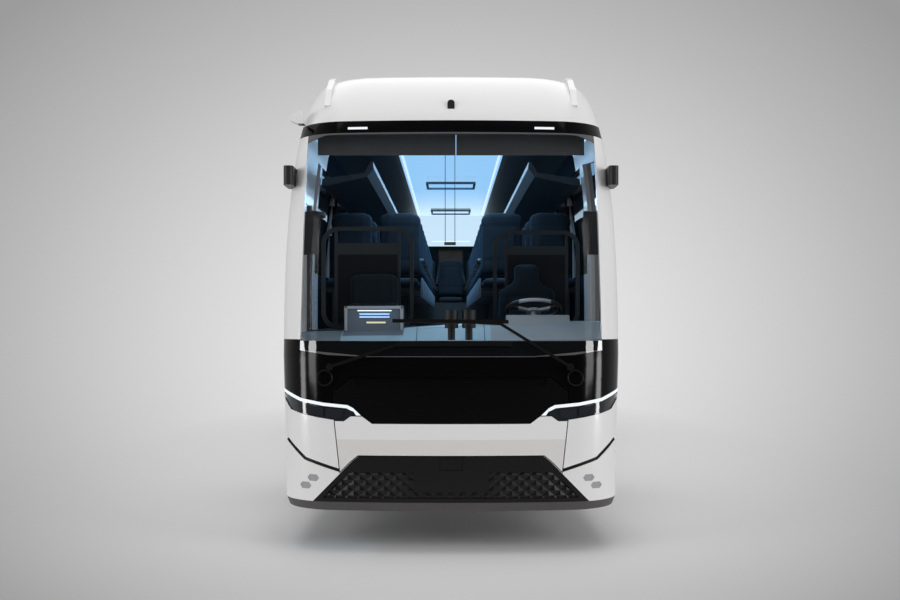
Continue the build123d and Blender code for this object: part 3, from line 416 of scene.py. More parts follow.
paints = {
    "white": mottledMaterial("whitePaint", whitePaint, 0.28, shade=0.015, spread=0.02, bump=0.01,
                             coat=0.25, masks=liningMasks, dull=True),
    "black": mottledMaterial("blackMask", blackPaint, 0.12, shade=0.2, spread=0.03, bump=0.0,
                             specular=0.2),
    "flap": mottledMaterial("flapPaint", whitePaint, 0.25, shade=0.015, spread=0.03, bump=0.0,
                            specular=0.25, masks=flapMasks,
                            edges=[(0.57, 0.934, 0.73, blackPaint)]),
    "camera": mottledMaterial("cameraHousing", (0.02, 0.02, 0.022), 0.4, shade=0.2, bump=0.1,
                              specular=0.3,
                              masks=[((-1.3, -6, 3.19), (-1.0, -5, 3.32), whitePaint)]),
    "wheel": mottledMaterial("wheelRim", (0.02, 0.021, 0.023), 0.4, shade=0.2, bump=0.1,
                             masks=[((0.545, -5.2, 1.5), (0.80, -4.6, 1.9), (0.42, 0.47, 0.52))]),
    "charcoal": mottledMaterial("charcoalPlastic", (0.03, 0.03, 0.032), 0.5, shade=0.25, bump=0.25,
                                scale=6),
    "grille": mottledMaterial("grillePlastic", (0.008, 0.008, 0.0085), 0.34, shade=0.25, bump=0.1,
                              scale=6, specular=0.25),
    "lip": mottledMaterial("lipPlastic", (0.075, 0.07, 0.07), 0.55, shade=0.2, bump=0.3, scale=8),
    "frame": mottledMaterial("framePaint", (0.04, 0.04, 0.043), 0.5, shade=0.3, bump=0.2),
    "iron": mottledMaterial("castIron", (0.10, 0.10, 0.10), 0.6, shade=0.4, bump=0.6, scale=10),
    "floor": mottledMaterial("floorCovering", (0.05, 0.055, 0.065), 0.6, shade=0.3, bump=0.4,
                             scale=20),
    "inner": mottledMaterial("innerPanel", (0.12, 0.13, 0.15), 0.5, shade=0.1, bump=0.1),
    "dash": mottledMaterial("dashSkin", (0.24, 0.40, 0.52), 0.55, shade=0.12, bump=0.35, scale=12,
                            grain=0.0006, masks=dashMasks),
    "partition": mottledMaterial("partitionShell", (0.045, 0.055, 0.06), 0.4, shade=0.2, bump=0.1,
                                 specular=0.4, masks=partitionMasks),
    "tyre": mottledMaterial("tyreRubber", (0.022, 0.022, 0.023), 0.75, shade=0.3, bump=0.5,
                            scale=12, grain=0.001),
    "rim": mottledMaterial("rimMetal", (0.55, 0.56, 0.58), 0.32, shade=0.08, bump=0.1,
                           metallic=0.9),
    "nut": mottledMaterial("nutMetal", (0.35, 0.35, 0.36), 0.35, shade=0.15, bump=0.1,
                           metallic=1.0),
    "wiper": mottledMaterial("wiperBlack", (0.004, 0.004, 0.0045), 0.42, shade=0.2, bump=0.1,
                             specular=0.2),
    "silver": mottledMaterial("silverTrim", (0.45, 0.50, 0.56), 0.3, shade=0.08, bump=0.05,
                              metallic=0.4),
    "amber": mottledMaterial("amberLens", (0.75, 0.22, 0.02), 0.15, shade=0.1, bump=0.0, coat=0.6),
    "seat": wovenMaterial("seatCloth", (0.003, 0.010, 0.018), (0.007, 0.021, 0.036)),
    "seatTrim": mottledMaterial("seatTrim", (0.25, 0.34, 0.44), 0.4, shade=0.1, bump=0.1),
    "blind": wovenMaterial("blindCloth", (0.035, 0.04, 0.045), (0.06, 0.065, 0.07), pitch=0.003),
    "screen": glassMaterial("screenGlass", glassTint, 0.96, masks=[((-2, -9, 1.3), (2, -4, 1.53))],
                            lines=screenLines),
    "pane": glassMaterial("tintedGlass", (0.004, 0.006, 0.005), 0.22,
                          masks=[((-1.2, 5.5, 1.9), (1.2, 6.2, 3.05))]),
    # the ceiling panel glows as painted light, bluer at the front and paler towards the back
    "ceiling": glowMaterial("ceilingPaintedGlow", ceilingPaintedLight, 1.05, base=(0.05, 0.07, 0.09),
                            span=((-0.56, -4.4, 2.9), (0.56, 5.75, 3.6)),
                            far=(1.5, 5.6, (0.62, 0.82, 0.98))),
    "stripGlow": glowMaterial("stripGlow", (0.75, 0.93, 1.0), 1.0),
    "ledGlow": glowMaterial("ledGlow", (0.88, 0.95, 1.0), 0.75, base=(0.3, 0.3, 0.3)),
    "blueGlow": glowMaterial("blueGlow", (0.10, 0.42, 0.95), 0.9),
    "yellowGlow": glowMaterial("yellowGlow", (0.75, 0.62, 0.08), 0.5),
    "lens": mottledMaterial("lampLens", (0.02, 0.023, 0.028), 0.08, shade=0.4, bump=0.0, coat=0.6,
                            specular=0.4, masks=lensMasks),
}
finishes = {
    "white": ["corner_pillars", "bumper_corners", "side_wall_left", "side_wall_right", "skirt_left",
              "skirt_right", "rear_panel", "engine_lid", "roof", "roof_hatch_front",
              "roof_hatch_rear", "roof_unit", "front_door", "luggage_flap_left_1",
              "luggage_flap_left_2", "luggage_flap_right_1", "luggage_flap_right_2"],
    "black": ["front_panel"],
    "flap": ["front_flap"],
    "camera": ["mirror_cameras"],
    "wheel": ["steering_wheel"],
    "grille": ["lower_grille"],
    "lip": ["bumper_lip"],
    "lens": ["lamps"],
    "frame": ["chassis", "axles", "front_door_arms", "seat_frames"],
    "iron": ["engine", "knuckle_left", "knuckle_right"],
    "floor": ["floor_deck"],
    "inner": ["underbody"],
    "dash": ["dashboard"],
    "partition": ["partitions"],
    "tyre": ["front_tyre_left", "front_tyre_right", "rear_tyres_left", "rear_tyres_right"],
    "rim": ["front_rim_left", "front_rim_right", "rear_rims_left", "rear_rims_right"],
    "wiper": ["wipers"],
    "seat": ["passenger_seats", "crew_seats"],
    "blind": ["sun_blinds"],
    "screen": ["windscreen"],
    "pane": ["window_panes", "front_door_glass"],
    "ceiling": ["ceiling_and_racks"],
}
for finish, members in finishes.items():
    for member in members:
        for slot in nodes[member].material_slots:
            slot.material = paints[finish]
print("materials placed")


def softenEdges(shape, edges, width, segments):
    bmesh.ops.bevel(shape, geom=edges, offset=width, segments=segments, profile=0.5,
                    affect="EDGES", material=-1)


def edgesAround(verts):
    return list({edge for vert in verts for edge in vert.link_edges})


def addBox(shape, low, high, bevel=0.0, segments=2):
    made = bmesh.ops.create_cube(shape, size=1.0)["verts"]
    low, high = Vector(low), Vector(high)
    bmesh.ops.scale(shape, vec=high - low, verts=made)
    bmesh.ops.translate(shape, vec=(low + high) / 2, verts=made)
    if bevel:
        softenEdges(shape, edgesAround(made), bevel, segments)


def addTube(shape, start, end, radius, sides):
    way = end - start
    made = bmesh.ops.create_cone(shape, cap_ends=True, segments=sides, radius1=radius,
                                 radius2=radius, depth=way.length)["verts"]
    turn = way.to_track_quat("Z", "Y").to_matrix().to_4x4()
    middle = Matrix.Translation((start + end) / 2)
    bmesh.ops.transform(shape, matrix=middle @ turn, verts=made)


def addSpun(shape, profile, centre, steps):  # a closed (x, radius) profile turned about X
    ring = [shape.verts.new((x, 0, radius)) for x, radius in profile]
    edges = [shape.edges.new(pair) for pair in zip(ring, ring[1:] + ring[:1])]
    bmesh.ops.spin(shape, geom=ring + edges, cent=(0, 0, 0), axis=(1, 0, 0), angle=math.tau,
                   steps=steps, use_merge=True)
    fresh = [vert for vert in shape.verts if not vert.tag]
    bmesh.ops.translate(shape, vec=centre, verts=fresh)
    for vert in fresh:
        vert.tag = True


def toMesh(name, shape):  # the bmesh is freed
    data = bpy.data.meshes.new(name)
    shape.to_mesh(data)
    shape.free()
    return data


def finishPiece(shape, name, paint, body, replaced=(), sharp=0.6):
    bmesh.ops.recalc_face_normals(shape, faces=shape.faces)
    for edge in shape.edges:
        edge.smooth = len(edge.link_faces) == 2 and edge.calc_face_angle() < sharp
    for face in shape.faces:
        face.smooth = True
    data = toMesh(name, shape)
    data.materials.append(paints[paint])
    piece = toObject(name, data)
    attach(piece, body)
    if replaced:
        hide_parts(*replaced)
    return piece


def mergedCopy(node):
    shape = bmesh.new()
    shape.from_mesh(nodes[node].data)
    bmesh.ops.remove_doubles(shape, verts=shape.verts, dist=0.0001)
    return shape


def raisedLamps(kept, proud):  # the lamps' faces that are kept, lifted off them
    shape = mergedCopy("lamps")
    shape.normal_update()
    others = [face for face in shape.faces if not kept(face)]
    bmesh.ops.delete(shape, geom=others, context="FACES")
    for vert in shape.verts:
        vert.co += vert.normal * proud
    return shape


noseY = -6.05


def behindNose(distance):
    return noseY + distance


def sided(side, first, second):  # the pair of x on one side, in rising order
    return sorted((side * first, side * second))


# line gives the day light's middle as (x, z) from the corner inwards; facing is how far forward
# a lit face has to look
lampPlan = {
    "line": [(1.300, 1.190), (1.216, 1.159), (1.097, 1.112), (0.923, 1.083), (0.749, 1.067),
             (0.707, 1.046), (0.650, 0.993)],
    "half": 0.024, "z": (0.9, 1.3), "frontY": -5, "facing": 0.2, "proud": 0.0015,
}
headerPlan = {"z": 3.0, "facing": 0.3, "proud": 0.0015}
projectorPlan = {"places": [(0.99, 0.30, 1.032), (0.85, 0.16, 1.008)],  # x, distance, z
                 "radius": 0.026, "depth": 0.02, "sides": 28}


def browHeight(x):
    line = lampPlan["line"]
    for (outerX, outerZ), (innerX, innerZ) in zip(line, line[1:]):
        if innerX <= x <= outerX:
            return innerZ + (outerZ - innerZ) * (x - innerX) / (outerX - innerX)
    return line[-1][1]


def onBrow(face):  # a face that looks forward, at the front of the coach and on the brow
    centre = face.calc_center_median()
    ahead = centre.y < lampPlan["frontY"] and face.normal.y < -lampPlan["facing"]
    lowest, highest = lampPlan["z"]
    lowest = max(lowest, browHeight(abs(centre.x)) - lampPlan["half"])
    return ahead and lowest < centre.z < highest


def onHeader(face):
    ahead = face.normal.y < -headerPlan["facing"]
    return ahead and face.calc_center_median().z > headerPlan["z"]


strips = raisedLamps(onBrow, lampPlan["proud"])
finishPiece(strips, "daylightStrips", "ledGlow", "coach")
projectors = bmesh.new()
for side in (1, -1):
    for x, distance, z in projectorPlan["places"]:
        foot = Vector((side * x, behindNose(distance), z))
        front = foot - Vector((0, projectorPlan["depth"], 0))
        addTube(projectors, foot, front, projectorPlan["radius"], projectorPlan["sides"])
finishPiece(projectors, "projectors", "silver", "coach")
header = raisedLamps(onHeader, headerPlan["proud"])
finishPiece(header, "headerMarkers", "ledGlow", "coach")
print("lamps lit")


# cap is the furthest that cloth may swell, and a channel is a groove twice as wide as its seam
clothPlan = {"voxel": 0.018, "pressure": 4.0, "frames": 20, "cap": 0.016,
             "seam": 0.022, "groove": 0.007}


def addBlock(shape, size, lift, taper, crown, bevel):  # its head is tapered, its corners are round
    made = bmesh.ops.create_cube(shape, size=1.0)["verts"]
    for vert in made:
        if vert.co.z > 0:
            vert.co.x *= taper
    bmesh.ops.scale(shape, vec=size, verts=made)
    bmesh.ops.translate(shape, vec=(0, 0, lift), verts=made)
    edges = edgesAround(made)
    if crown:  # the upper front-to-back edges come first, then whatever is still sharp
        corners = [edge for edge in edges if all(vert.co.z > lift for vert in edge.verts)
                   and abs(edge.verts[0].co.x - edge.verts[1].co.x) < 0.001]
        known = set(shape.verts) - set(made)
        softenEdges(shape, corners, crown, 6)
        fresh = [vert for vert in shape.verts if vert not in known]
        edges = [edge for edge in edgesAround(fresh) if edge.calc_face_angle() > 0.9]
    softenEdges(shape, edges, bevel, 3)


def takeResult(thing):  # the mesh that its modifiers make, which are then taken off
    ready = thing.evaluated_get(bpy.context.evaluated_depsgraph_get())
    data = bpy.data.meshes.new_from_object(ready)
    thing.modifiers.clear()
    return data


def makePad(blocks, channels=()):  # a pad about the origin, sewn along its (axis, place) channels
    shape = bmesh.new()
    for block in blocks:
        addBlock(shape, *block)
    pad = toObject("padStart", toMesh("padStart", shape))
    remesh = pad.modifiers.new("remesh", "REMESH")
    remesh.mode = "VOXEL"
    remesh.voxel_size = clothPlan["voxel"]
    even = takeResult(pad)
    pad.data = even
    cloth = pad.modifiers.new("cloth", "CLOTH")
    cloth.settings.use_pressure = True
    cloth.settings.uniform_pressure_force = clothPlan["pressure"]
    cloth.settings.effector_weights.gravity = 0
    for step in range(1, clothPlan["frames"] + 1):
        scene.frame_set(step)
    swollen = takeResult(pad)
    for vert, after in zip(even.vertices, swollen.vertices):
        move = after.co - vert.co
        if move.length > clothPlan["cap"]:
            move = move.normalized() * clothPlan["cap"]
        vert.co = vert.co + move
    scene.frame_set(1)
    sewn = bmesh.new()
    sewn.from_mesh(even)
    sewn.normal_update()
    for vert in sewn.verts:
        for axis, place in channels:
            near = 1 - min(abs(abs(vert.co[axis]) - place) / clothPlan["seam"], 1)
            vert.co -= vert.normal * near * clothPlan["groove"]
    bpy.data.objects.remove(pad)
    return toMesh("pad", sewn)


def addCopy(shape, pad, place, lean=0.0):  # leant about X and set down at its place
    known = set(shape.verts)
    shape.from_mesh(pad)
    fresh = [vert for vert in shape.verts if vert not in known]
    move = Matrix.Translation(place) @ Matrix.Rotation(lean, 4, "X")
    bmesh.ops.transform(shape, matrix=move, verts=fresh)


# a block is (size, lift, taper, crown, bevel)
seatPlan = {
    "back": [((0.430, 0.075, 0.66), 0, 1, 0.10, 0.03)], "backChannels": [(0, 0.145), (2, 0.17)],
    "backAt": 0.100, "backZ": 2.428, "lean": -0.172,
    "cushion": [((0.430, 0.430, 0.065), 0, 1, 0, 0.03)], "cushionChannels": [(0, 0.145)],
    "cushionAt": -0.22, "cushionZ": 2.032,
    "rows": 11, "frontRows": 6, "firstRow": 2.95, "pitch": 0.78, "columns": (0.500, 0.974),
    "benchAt": 11.5, "benchColumns": (-0.948, -0.474, 0.0, 0.474, 0.948),
}
backPad = makePad(seatPlan["back"], seatPlan["backChannels"])
cushionPad = makePad(seatPlan["cushion"], seatPlan["cushionChannels"])


def passengerBlock(name, places):
    shape = bmesh.new()
    for x, distance in places:
        cushionY = behindNose(distance + seatPlan["cushionAt"])
        backY = behindNose(distance + seatPlan["backAt"])
        addCopy(shape, cushionPad, (x, cushionY, seatPlan["cushionZ"]))
        addCopy(shape, backPad, (x, backY, seatPlan["backZ"]), seatPlan["lean"])
    block = finishPiece(shape, name, "seat", "coach", ["passenger_seats"], sharp=3.2)


rowsAt = [seatPlan["firstRow"] + seatPlan["pitch"] * row for row in range(seatPlan["rows"])]
frontRows = seatPlan["frontRows"]
for side, sideName in ((1, "Left"), (-1, "Right")):
    for part, rows in (("Front", rowsAt[:frontRows]), ("Rear", rowsAt[frontRows:])):
        places = [(side * x, row) for row in rows for x in seatPlan["columns"]]
        passengerBlock("seats" + sideName + part, places)
passengerBlock("seatsBench", [(x, seatPlan["benchAt"]) for x in seatPlan["benchColumns"]])

driverX = 0.673
crewTable = [  # piece, x, its pads as (blocks, channels, distance behind the nose, z, lean)
    ("driverCushions", driverX, [
        ([((0.53, 0.08, 0.46), -0.11, 1, 0, 0.03), ((0.52, 0.08, 0.10), 0.155, 0.46, 0, 0.01),
          ((0.255, 0.08, 0.20), 0.26, 0.86, 0.05, 0.02)],
         [(0, 0.15), (2, 0.05)], 1.99, 1.835, -0.14),
        ([((0.455, 0.41, 0.085), 0, 1, 0, 0.035)], [(0, 0.15)], 1.68, 1.39, 0.0),
    ]),
    ("guideCushions", -0.66, [
        ([((0.44, 0.06, 0.66), 0, 1, 0.09, 0.025)], [(0, 0.13), (2, 0.24)], 1.632, 1.765, 0.0),
        ([((0.44, 0.055, 0.38), 0, 1, 0, 0.02)], [], 1.564, 1.65, 0.0),
    ]),
]
for name, x, pads in crewTable:
    shape = bmesh.new()
    for blocks, channels, distance, z, lean in pads:
        addCopy(shape, makePad(blocks, channels), (x, behindNose(distance), z), lean)
    crewSeat = finishPiece(shape, name, "seat", "coach", ["crew_seats"], sharp=3.2)

pedestalPlan = {"at": 1.73, "foot": 0.93, "top": 1.10, "half": 0.17, "bevel": 0.01,
                "folds": 6, "pitch": 0.037, "fold": 0.036, "foldHalf": 0.16, "foldBevel": 0.016}
pedestal = bmesh.new()


def addPedestalBox(half, low, high, bevel):
    front, back = behindNose(pedestalPlan["at"] - half), behindNose(pedestalPlan["at"] + half)
    addBox(pedestal, (driverX - half, front, low), (driverX + half, back, high), bevel)


addPedestalBox(pedestalPlan["half"], pedestalPlan["foot"], pedestalPlan["top"],
               pedestalPlan["bevel"])
for fold in range(pedestalPlan["folds"]):
    low = pedestalPlan["top"] + pedestalPlan["pitch"] * fold
    addPedestalBox(pedestalPlan["foldHalf"], low, low + pedestalPlan["fold"],
                   pedestalPlan["foldBevel"])
finishPiece(pedestal, "driverPedestal", "charcoal", "coach", ["crew_seats"])

trimPlan = {  # each bar is (from, to) along the row's own distance, then (foot, top)
    "x": (0.262, 0.285), "panel": (-0.34, 0.02, 1.90, 2.08), "rest": (-0.36, 0.05, 2.235, 2.262),
    "restWider": (0.012, 0.004), "bevel": 0.01,
}
trim = bmesh.new()
for row in rowsAt:
    for side in (1, -1):
        x0, x1 = sided(side, *trimPlan["x"])
        for bar, (lower, upper) in (("panel", (0, 0)), ("rest", trimPlan["restWider"])):
            front, back, foot, top = trimPlan[bar]
            addBox(trim, (x0 - lower, behindNose(row + front), foot),
                   (x1 + upper, behindNose(row + back), top), trimPlan["bevel"])
finishPiece(trim, "seatSideTrims", "seatTrim", "coach")
print("seats placed")

# shares of the height above the foot that are kept: in the middle, at the edge and by the driver
dashPlan = {
    "foot": 1.5, "middle": 0.70, "edge": 0.45, "half": 1.1, "driver": 0.88, "driverX": 0.28,
    "columnsY": -5.70, "columnsX": 0.2, "console": (-0.82, -0.36), "consoleZ": 1.705,
}
dashTop = mergedCopy("dashboard")
for vert in dashTop.verts:
    x, y, z = vert.co
    onColumn = y < dashPlan["columnsY"] and abs(x) < dashPlan["columnsX"]
    onConsole = dashPlan["console"][0] < x < dashPlan["console"][1] and z > dashPlan["consoleZ"]
    if z < dashPlan["foot"] or onColumn or onConsole:
        continue
    inward = 1 - min(abs(x) / dashPlan["half"], 1)
    share = dashPlan["edge"] + (dashPlan["middle"] - dashPlan["edge"]) * inward
    if x > dashPlan["driverX"]:
        share = dashPlan["driver"]
    vert.co.z = dashPlan["foot"] + (z - dashPlan["foot"]) * share
finishPiece(dashTop, "dashTop", "dash", "coach", ["dashboard"], sharp=0.45)

consolePlan = {
    "x": (-0.814, -0.365), "z": (1.600, 1.790), "bar": 0.022, "at": 0.556,
    "frameY": (-0.006, 0.06), "frameBevel": 0.004, "lightY": (-0.003, 0.008), "lightBevel": 0.001,
}
consoleTable = [  # piece, paint, its bars as the corners (x, z)
    ("consoleLight", "stripGlow", [((-0.715, 1.750), (-0.455, 1.758))]),
    ("consoleKeys", "blueGlow", [((-0.700, 1.722), (-0.470, 1.733)),
                                 ((-0.700, 1.700), (-0.470, 1.711))]),
    ("consoleLabels", "yellowGlow", [((-0.646, 1.657), (-0.500, 1.670))]),
]


def consoleBars(bars, depth, bevel, segments):
    front, back = (behindNose(consolePlan["at"] + step) for step in depth)
    shape = bmesh.new()
    for (x0, z0), (x1, z1) in bars:
        addBox(shape, (x0, front, z0), (x1, back, z1), bevel, segments)
    return shape


left, right = consolePlan["x"]
low, high = consolePlan["z"]
bar = consolePlan["bar"]
frameBars = [((left, low), (left + bar, high)), ((right - bar, low), (right, high)),
             ((left, high - bar), (right, high))]
consoleFrame = consoleBars(frameBars, consolePlan["frameY"], consolePlan["frameBevel"], 2)
finishPiece(consoleFrame, "consoleFrame", "silver", "coach")
for name, paint, bars in consoleTable:
    lights = consoleBars(bars, consolePlan["lightY"], consolePlan["lightBevel"], 1)
    finishPiece(lights, name, paint, "coach")

ceilingPlan = {
    "x": (0.515, 0.535), "z": (3.456, 3.468), "from": 1.5, "to": 11.05, "bevel": 0.003,
    "rearHalf": 0.33, "rearAt": (11.63, 11.66), "rearZ": (3.045, 3.065), "rearBevel": 0.004,
}
strips = bmesh.new()
low, high = ceilingPlan["z"]
for side in (1, -1):
    x0, x1 = sided(side, *ceilingPlan["x"])
    addBox(strips, (x0, behindNose(ceilingPlan["from"]), low),
           (x1, behindNose(ceilingPlan["to"]), high), ceilingPlan["bevel"], 1)
half = ceilingPlan["rearHalf"]
front, back = ceilingPlan["rearAt"]
low, high = ceilingPlan["rearZ"]
addBox(strips, (-half, behindNose(front), low), (half, behindNose(back), high),
       ceilingPlan["rearBevel"], 1)
finishPiece(strips, "ceilingStrips", "stripGlow", "coach")

hatchPlan = {"at": (6.93, 10.62), "half": 0.322, "bar": 0.03, "z": (3.445, 3.475), "bevel": 0.004}
hatchFrames = bmesh.new()
reach = hatchPlan["half"]
inside = reach - hatchPlan["bar"]
low, high = hatchPlan["z"]
for place in hatchPlan["at"]:
    for x0, x1, d0, d1 in ((-reach, reach, -reach, -inside), (-reach, reach, inside, reach),
                           (-reach, -inside, -reach, reach), (inside, reach, -reach, reach)):
        addBox(hatchFrames, (x0, behindNose(place + d0), low), (x1, behindNose(place + d1), high),
               hatchPlan["bevel"])
finishPiece(hatchFrames, "hatchFrames", "seatTrim", "coach")
print("cab fitted")

tyrePlan = {
    "flank": [(0.103, 0.290), (0.115, 0.300), (0.141, 0.350), (0.145, 0.400), (0.142, 0.458),
              (0.127, 0.506), (0.111, 0.518)],  # (x, radius) from the bead to the tread
    "grooves": (0.084, 0.028, -0.028, -0.084), "depth": 0.009, "slit": 0.011, "slope": 0.002,
    "hubZ": 0.518, "steps": 72,
}


def tyreProfile():  # up one flank, across the tread and down the other flank
    flank = tyrePlan["flank"]
    outer = flank[-1][1]
    inner = outer - tyrePlan["depth"]
    wide = tyrePlan["slit"] / 2
    narrow = wide - tyrePlan["slope"]
    tread = []
    for middle in tyrePlan["grooves"]:
        tread += [(middle + wide, outer), (middle + narrow, inner),
                  (middle - narrow, inner), (middle - wide, outer)]
    return flank + tread + [(-x, radius) for x, radius in reversed(flank)]


wheelTable = [  # name, body, tyre node, hub x, axle distance, tyre centres
    ("frontLeft", "wheel_front_left", "front_tyre_left", 1.050, 2.75, (0.0,)),
    ("frontRight", "wheel_front_right", "front_tyre_right", -1.050, 2.75, (0.0,)),
    ("rearLeft", "wheels_rear_left", "rear_tyres_left", 0.915, 8.84, (-0.168, 0.168)),
    ("rearRight", "wheels_rear_right", "rear_tyres_right", -0.915, 8.84, (-0.168, 0.168)),
]
for name, body, tyreNode, hubX, distance, centres in wheelTable:
    tyre = bmesh.new()
    for offset in centres:
        hub = (hubX + offset, behindNose(distance), tyrePlan["hubZ"])
        addSpun(tyre, tyreProfile(), hub, tyrePlan["steps"])
    finishPiece(tyre, name + "Tyre", "tyre", body, [tyreNode], sharp=0.5)
print("wheels shod")

wallX = 1.268
markerPlan = {"z": 0.62, "long": 0.05, "tall": 0.018, "sunk": 0.02, "proud": 0.006, "bevel": 0.005}
latchPlan = {"z": 0.50, "long": 0.06, "tall": 0.022, "sunk": 0.03, "proud": 0.002, "bevel": 0.008}
markerTable = [  # piece, body, side, distances behind the nose
    ("markersLeft", "coach", 1, (2.05, 10.1, 11.4)), ("markersRight", "coach", -1, (10.1, 11.4)),
    ("markersLeft1", "flap_left_1", 1, (4.6,)), ("markersLeft2", "flap_left_2", 1, (6.95,)),
    ("markersRight1", "flap_right_1", -1, (4.6,)), ("markersRight2", "flap_right_2", -1, (6.95,)),
]
latchTable = [  # body, side, distances behind the nose
    ("flap_left_1", 1, (3.9, 5.3)), ("flap_left_2", 1, (6.3, 7.65)),
    ("flap_right_1", -1, (3.9, 5.3)), ("flap_right_2", -1, (6.3, 7.65)),
]


def wallBoxes(plan, side, distances):
    shape = bmesh.new()
    x0, x1 = sided(side, wallX - plan["sunk"], wallX + plan["proud"])
    low, high = plan["z"] - plan["tall"], plan["z"] + plan["tall"]
    for distance in distances:
        addBox(shape, (x0, behindNose(distance - plan["long"]), low),
               (x1, behindNose(distance + plan["long"]), high), plan["bevel"])
    return shape


for name, body, side, distances in markerTable:
    finishPiece(wallBoxes(markerPlan, side, distances), name, "amber", body)
for body, side, distances in latchTable:
    latches = wallBoxes(latchPlan, side, distances)
    finishPiece(latches, "latches_" + body, "charcoal", body)

archPlan = {"axles": (2.75, 8.84), "radius": 0.612, "foot": 0.373, "hubZ": 0.518, "steps": 48,
            "profile": [(-0.016, 0), (0.0064, 0), (0.0096, 0.016), (-0.016, 0.016)]}
arches = bmesh.new()
fall = math.asin((archPlan["hubZ"] - archPlan["foot"]) / archPlan["radius"])
halfTurn = math.pi / 2 + fall
for side in (1, -1):
    for distance in archPlan["axles"]:
        lip = bmesh.new()
        outline = lip.faces.new([lip.verts.new((x, 0, archPlan["radius"] + z))
                                 for x, z in archPlan["profile"]])
        bmesh.ops.rotate(lip, cent=(0, 0, 0), matrix=Matrix.Rotation(halfTurn, 3, "X"),
                         verts=lip.verts)
        bmesh.ops.spin(lip, geom=[outline], cent=(0, 0, 0), axis=(1, 0, 0), angle=-2 * halfTurn,
                       steps=archPlan["steps"])
        hub = (side * wallX, behindNose(distance), archPlan["hubZ"])
        bmesh.ops.translate(lip, vec=hub, verts=lip.verts)
        arches.from_mesh(toMesh("archLip", lip))
finishPiece(arches, "archLips", "charcoal", "coach")

nutPlan = {
    "count": 10, "circle": 0.1675, "radius": 0.016, "length": 0.026, "frontOut": 0.060, "sides": 6,
    "boltRadius": 0.5, "boltLength": 1.4, "boltSides": 10,  # the bolt, in shares of its nut
}
for name, body, tyreNode, hubX, distance, centres in wheelTable:
    side = 1 if hubX > 0 else -1
    out = nutPlan["frontOut"] if len(centres) == 1 else 0.0
    middle = Vector((hubX + side * out, behindNose(distance), tyrePlan["hubZ"]))
    length = Vector((side * nutPlan["length"], 0, 0))
    nuts = bmesh.new()
    for index in range(nutPlan["count"]):
        turn = math.tau * index / nutPlan["count"]
        foot = middle + Vector((0, math.cos(turn), math.sin(turn))) * nutPlan["circle"]
        addTube(nuts, foot, foot + length, nutPlan["radius"], nutPlan["sides"])
        addTube(nuts, foot, foot + length * nutPlan["boltLength"],
                nutPlan["radius"] * nutPlan["boltRadius"], nutPlan["boltSides"])
    finishPiece(nuts, name + "Nuts", "nut", body, sharp=0.5)

fanPlan = {
    "at": (7.5, 8.4, 9.3), "x": 0.38, "z": 3.758, "rings": (0.07, 0.13, 0.19, 0.25), "steps": 40,
    "bars": 4, "barReach": 0.26, "barSides": 6, "thick": 0.006,
}
fans = bmesh.new()
thick = fanPlan["thick"]
corners = [(-thick, -thick), (thick, -thick), (thick, thick), (-thick, thick)]
for distance in fanPlan["at"]:
    for side in (1, -1):
        hub = Vector((side * fanPlan["x"], behindNose(distance), fanPlan["z"]))
        for radius in fanPlan["rings"]:
            loop = bmesh.new()
            tile = loop.faces.new([loop.verts.new((radius + dx, 0, dz)) for dx, dz in corners])
            bmesh.ops.spin(loop, geom=list(loop.verts) + list(loop.edges), cent=(0, 0, 0),
                           axis=(0, 0, 1), angle=math.tau, steps=fanPlan["steps"], use_merge=True)
            bmesh.ops.delete(loop, geom=[tile], context="FACES_ONLY")
            bmesh.ops.translate(loop, vec=hub, verts=loop.verts)
            fans.from_mesh(toMesh("fanRing", loop))
        for index in range(fanPlan["bars"]):
            turn = math.pi * index / fanPlan["bars"]
            reach = Vector((math.cos(turn), math.sin(turn), 0)) * fanPlan["barReach"]
            addTube(fans, hub - reach, hub + reach, thick, fanPlan["barSides"])
finishPiece(fans, "roofFanGuards", "charcoal", "coach")
print("outside fitted")

# the floor changes to the backdrop between near and far from the coach, by a squeezed distance
stagePlan = {
    "floor": 60.0, "near": 2.4, "far": 4.6, "squeeze": (1.0, 0.38, 1.0), "gain": 1.32,
    "ambient": 0.40, "mirror": 0.04, "mirrorLift": 0.6,
}


def floorMaterial():  # has the backdrop's shade as the eye sees it there, and far away it glows
    material, tree, inputs, place = startMaterial(
        "studioFloor", {"Roughness": 0.9, "Specular IOR Level": 0.0})
    fromEye = vectorNode(tree, "SUBTRACT", place, cameraPlan["place"])
    shade = placeGroup(tree, studioFade, Vector=fromEye)["Color"]
    lifted = vectorNode(tree, "MULTIPLY", shade, (stagePlan["gain"],) * 3)
    squeezed = vectorNode(tree, "MULTIPLY", place, stagePlan["squeeze"])
    span = vectorNode(tree, "LENGTH", squeezed)
    away = mapSpan(tree, span, stagePlan["near"], stagePlan["far"])
    putIn(tree, inputs["Base Color"], mixColors(tree, away, lifted, (0, 0, 0, 1)))
    putIn(tree, inputs["Emission Color"], shade)
    putIn(tree, inputs["Emission Strength"], away)
    return material


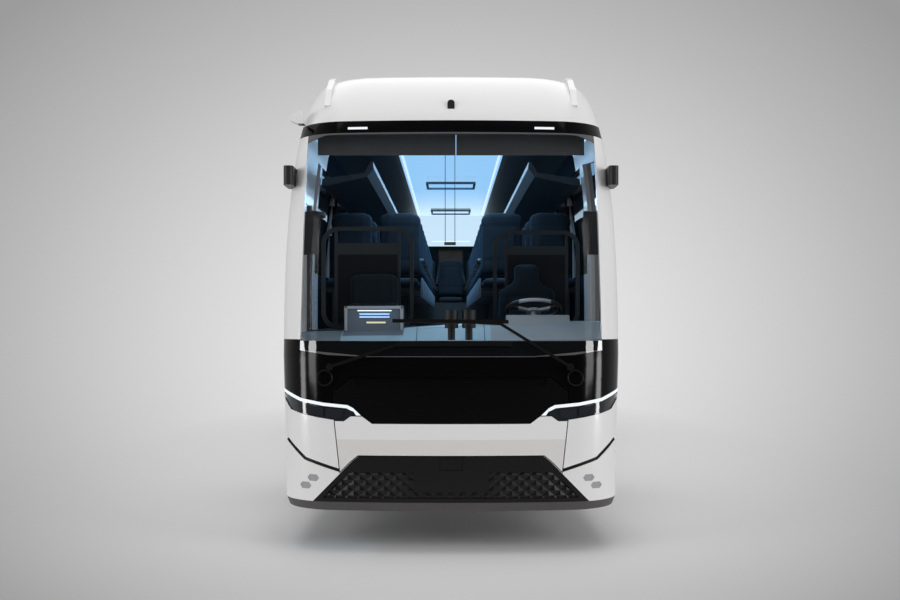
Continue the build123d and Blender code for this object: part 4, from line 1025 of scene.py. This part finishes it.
floorShape = bmesh.new()
bmesh.ops.create_grid(floorShape, x_segments=1, y_segments=1, size=stagePlan["floor"])
floor = toObject("floor", toMesh("floor", floorShape))
floor.data.materials.append(floorMaterial())

world = bpy.data.worlds.new("studio")
scene.world = world
world.use_nodes = True
sky = world.node_tree
heading = sky.nodes.new("ShaderNodeTexCoord").outputs["Generated"]
rays = sky.nodes.new("ShaderNodeLightPath").outputs
backdrop = placeGroup(sky, studioFade, Vector=heading)["Color"]
towards = mathNode(sky, "ADD", splitAxes(sky, heading)["Y"], stagePlan["mirrorLift"])
towards = mathNode(sky, "MAXIMUM", towards, stagePlan["mirror"])
towards = mathNode(sky, "MINIMUM", towards, 1.0)
# gloss shows the backdrop and a dark room in front, and the rest has an even light
mirrored = mixColors(sky, towards, (0, 0, 0, 1), backdrop)
ambient = (*(stagePlan["ambient"],) * 3, 1)
seen = mathNode(sky, "MAXIMUM", rays["Is Camera Ray"], rays["Is Transmission Ray"])
shown = mixColors(sky, rays["Is Glossy Ray"], ambient, mirrored)
shown = mixColors(sky, seen, shown, backdrop)
putIn(sky, sky.nodes["Background"].inputs["Color"], shown)


def addLamp(name, place, aim, size, power, color=(1, 1, 1)):
    data = bpy.data.lights.new(name, "AREA")
    data.shape = "RECTANGLE"
    data.size, data.size_y = size
    data.energy = power
    data.color = color
    lamp = toObject(name, data)
    lamp.location = place
    lamp.rotation_euler = (Vector(aim) - Vector(place)).to_track_quat("-Z", "Y").to_euler()


lampTable = [  # name, place, aim, size, power
    ("topSoft", (0, -1, 9.5), (0, -1, 0), (9, 18), 560),
    ("frontLeft", (-9, -12, 4.5), (0, -5, 1.8), (3, 4), 260),
    ("frontRight", (9, -12, 4.5), (0, -5, 1.8), (3, 4), 290),
    ("sideLeft", (-13, -9, 2.5), (0, -5.5, 1.4), (2.5, 3), 260),
    ("sideRight", (13, -9, 2.5), (0, -5.5, 1.4), (2.5, 3), 300),
    ("cabinGlow", (0, 0.2, 3.38), (0, 0.2, 0), (0.5, 9.0), 90, (0.45, 0.72, 1.0)),  # and its color
]
for row in lampTable:
    addLamp(*row)
print("stage lit")

bpy.context.scene.view_settings.view_transform = "Standard"
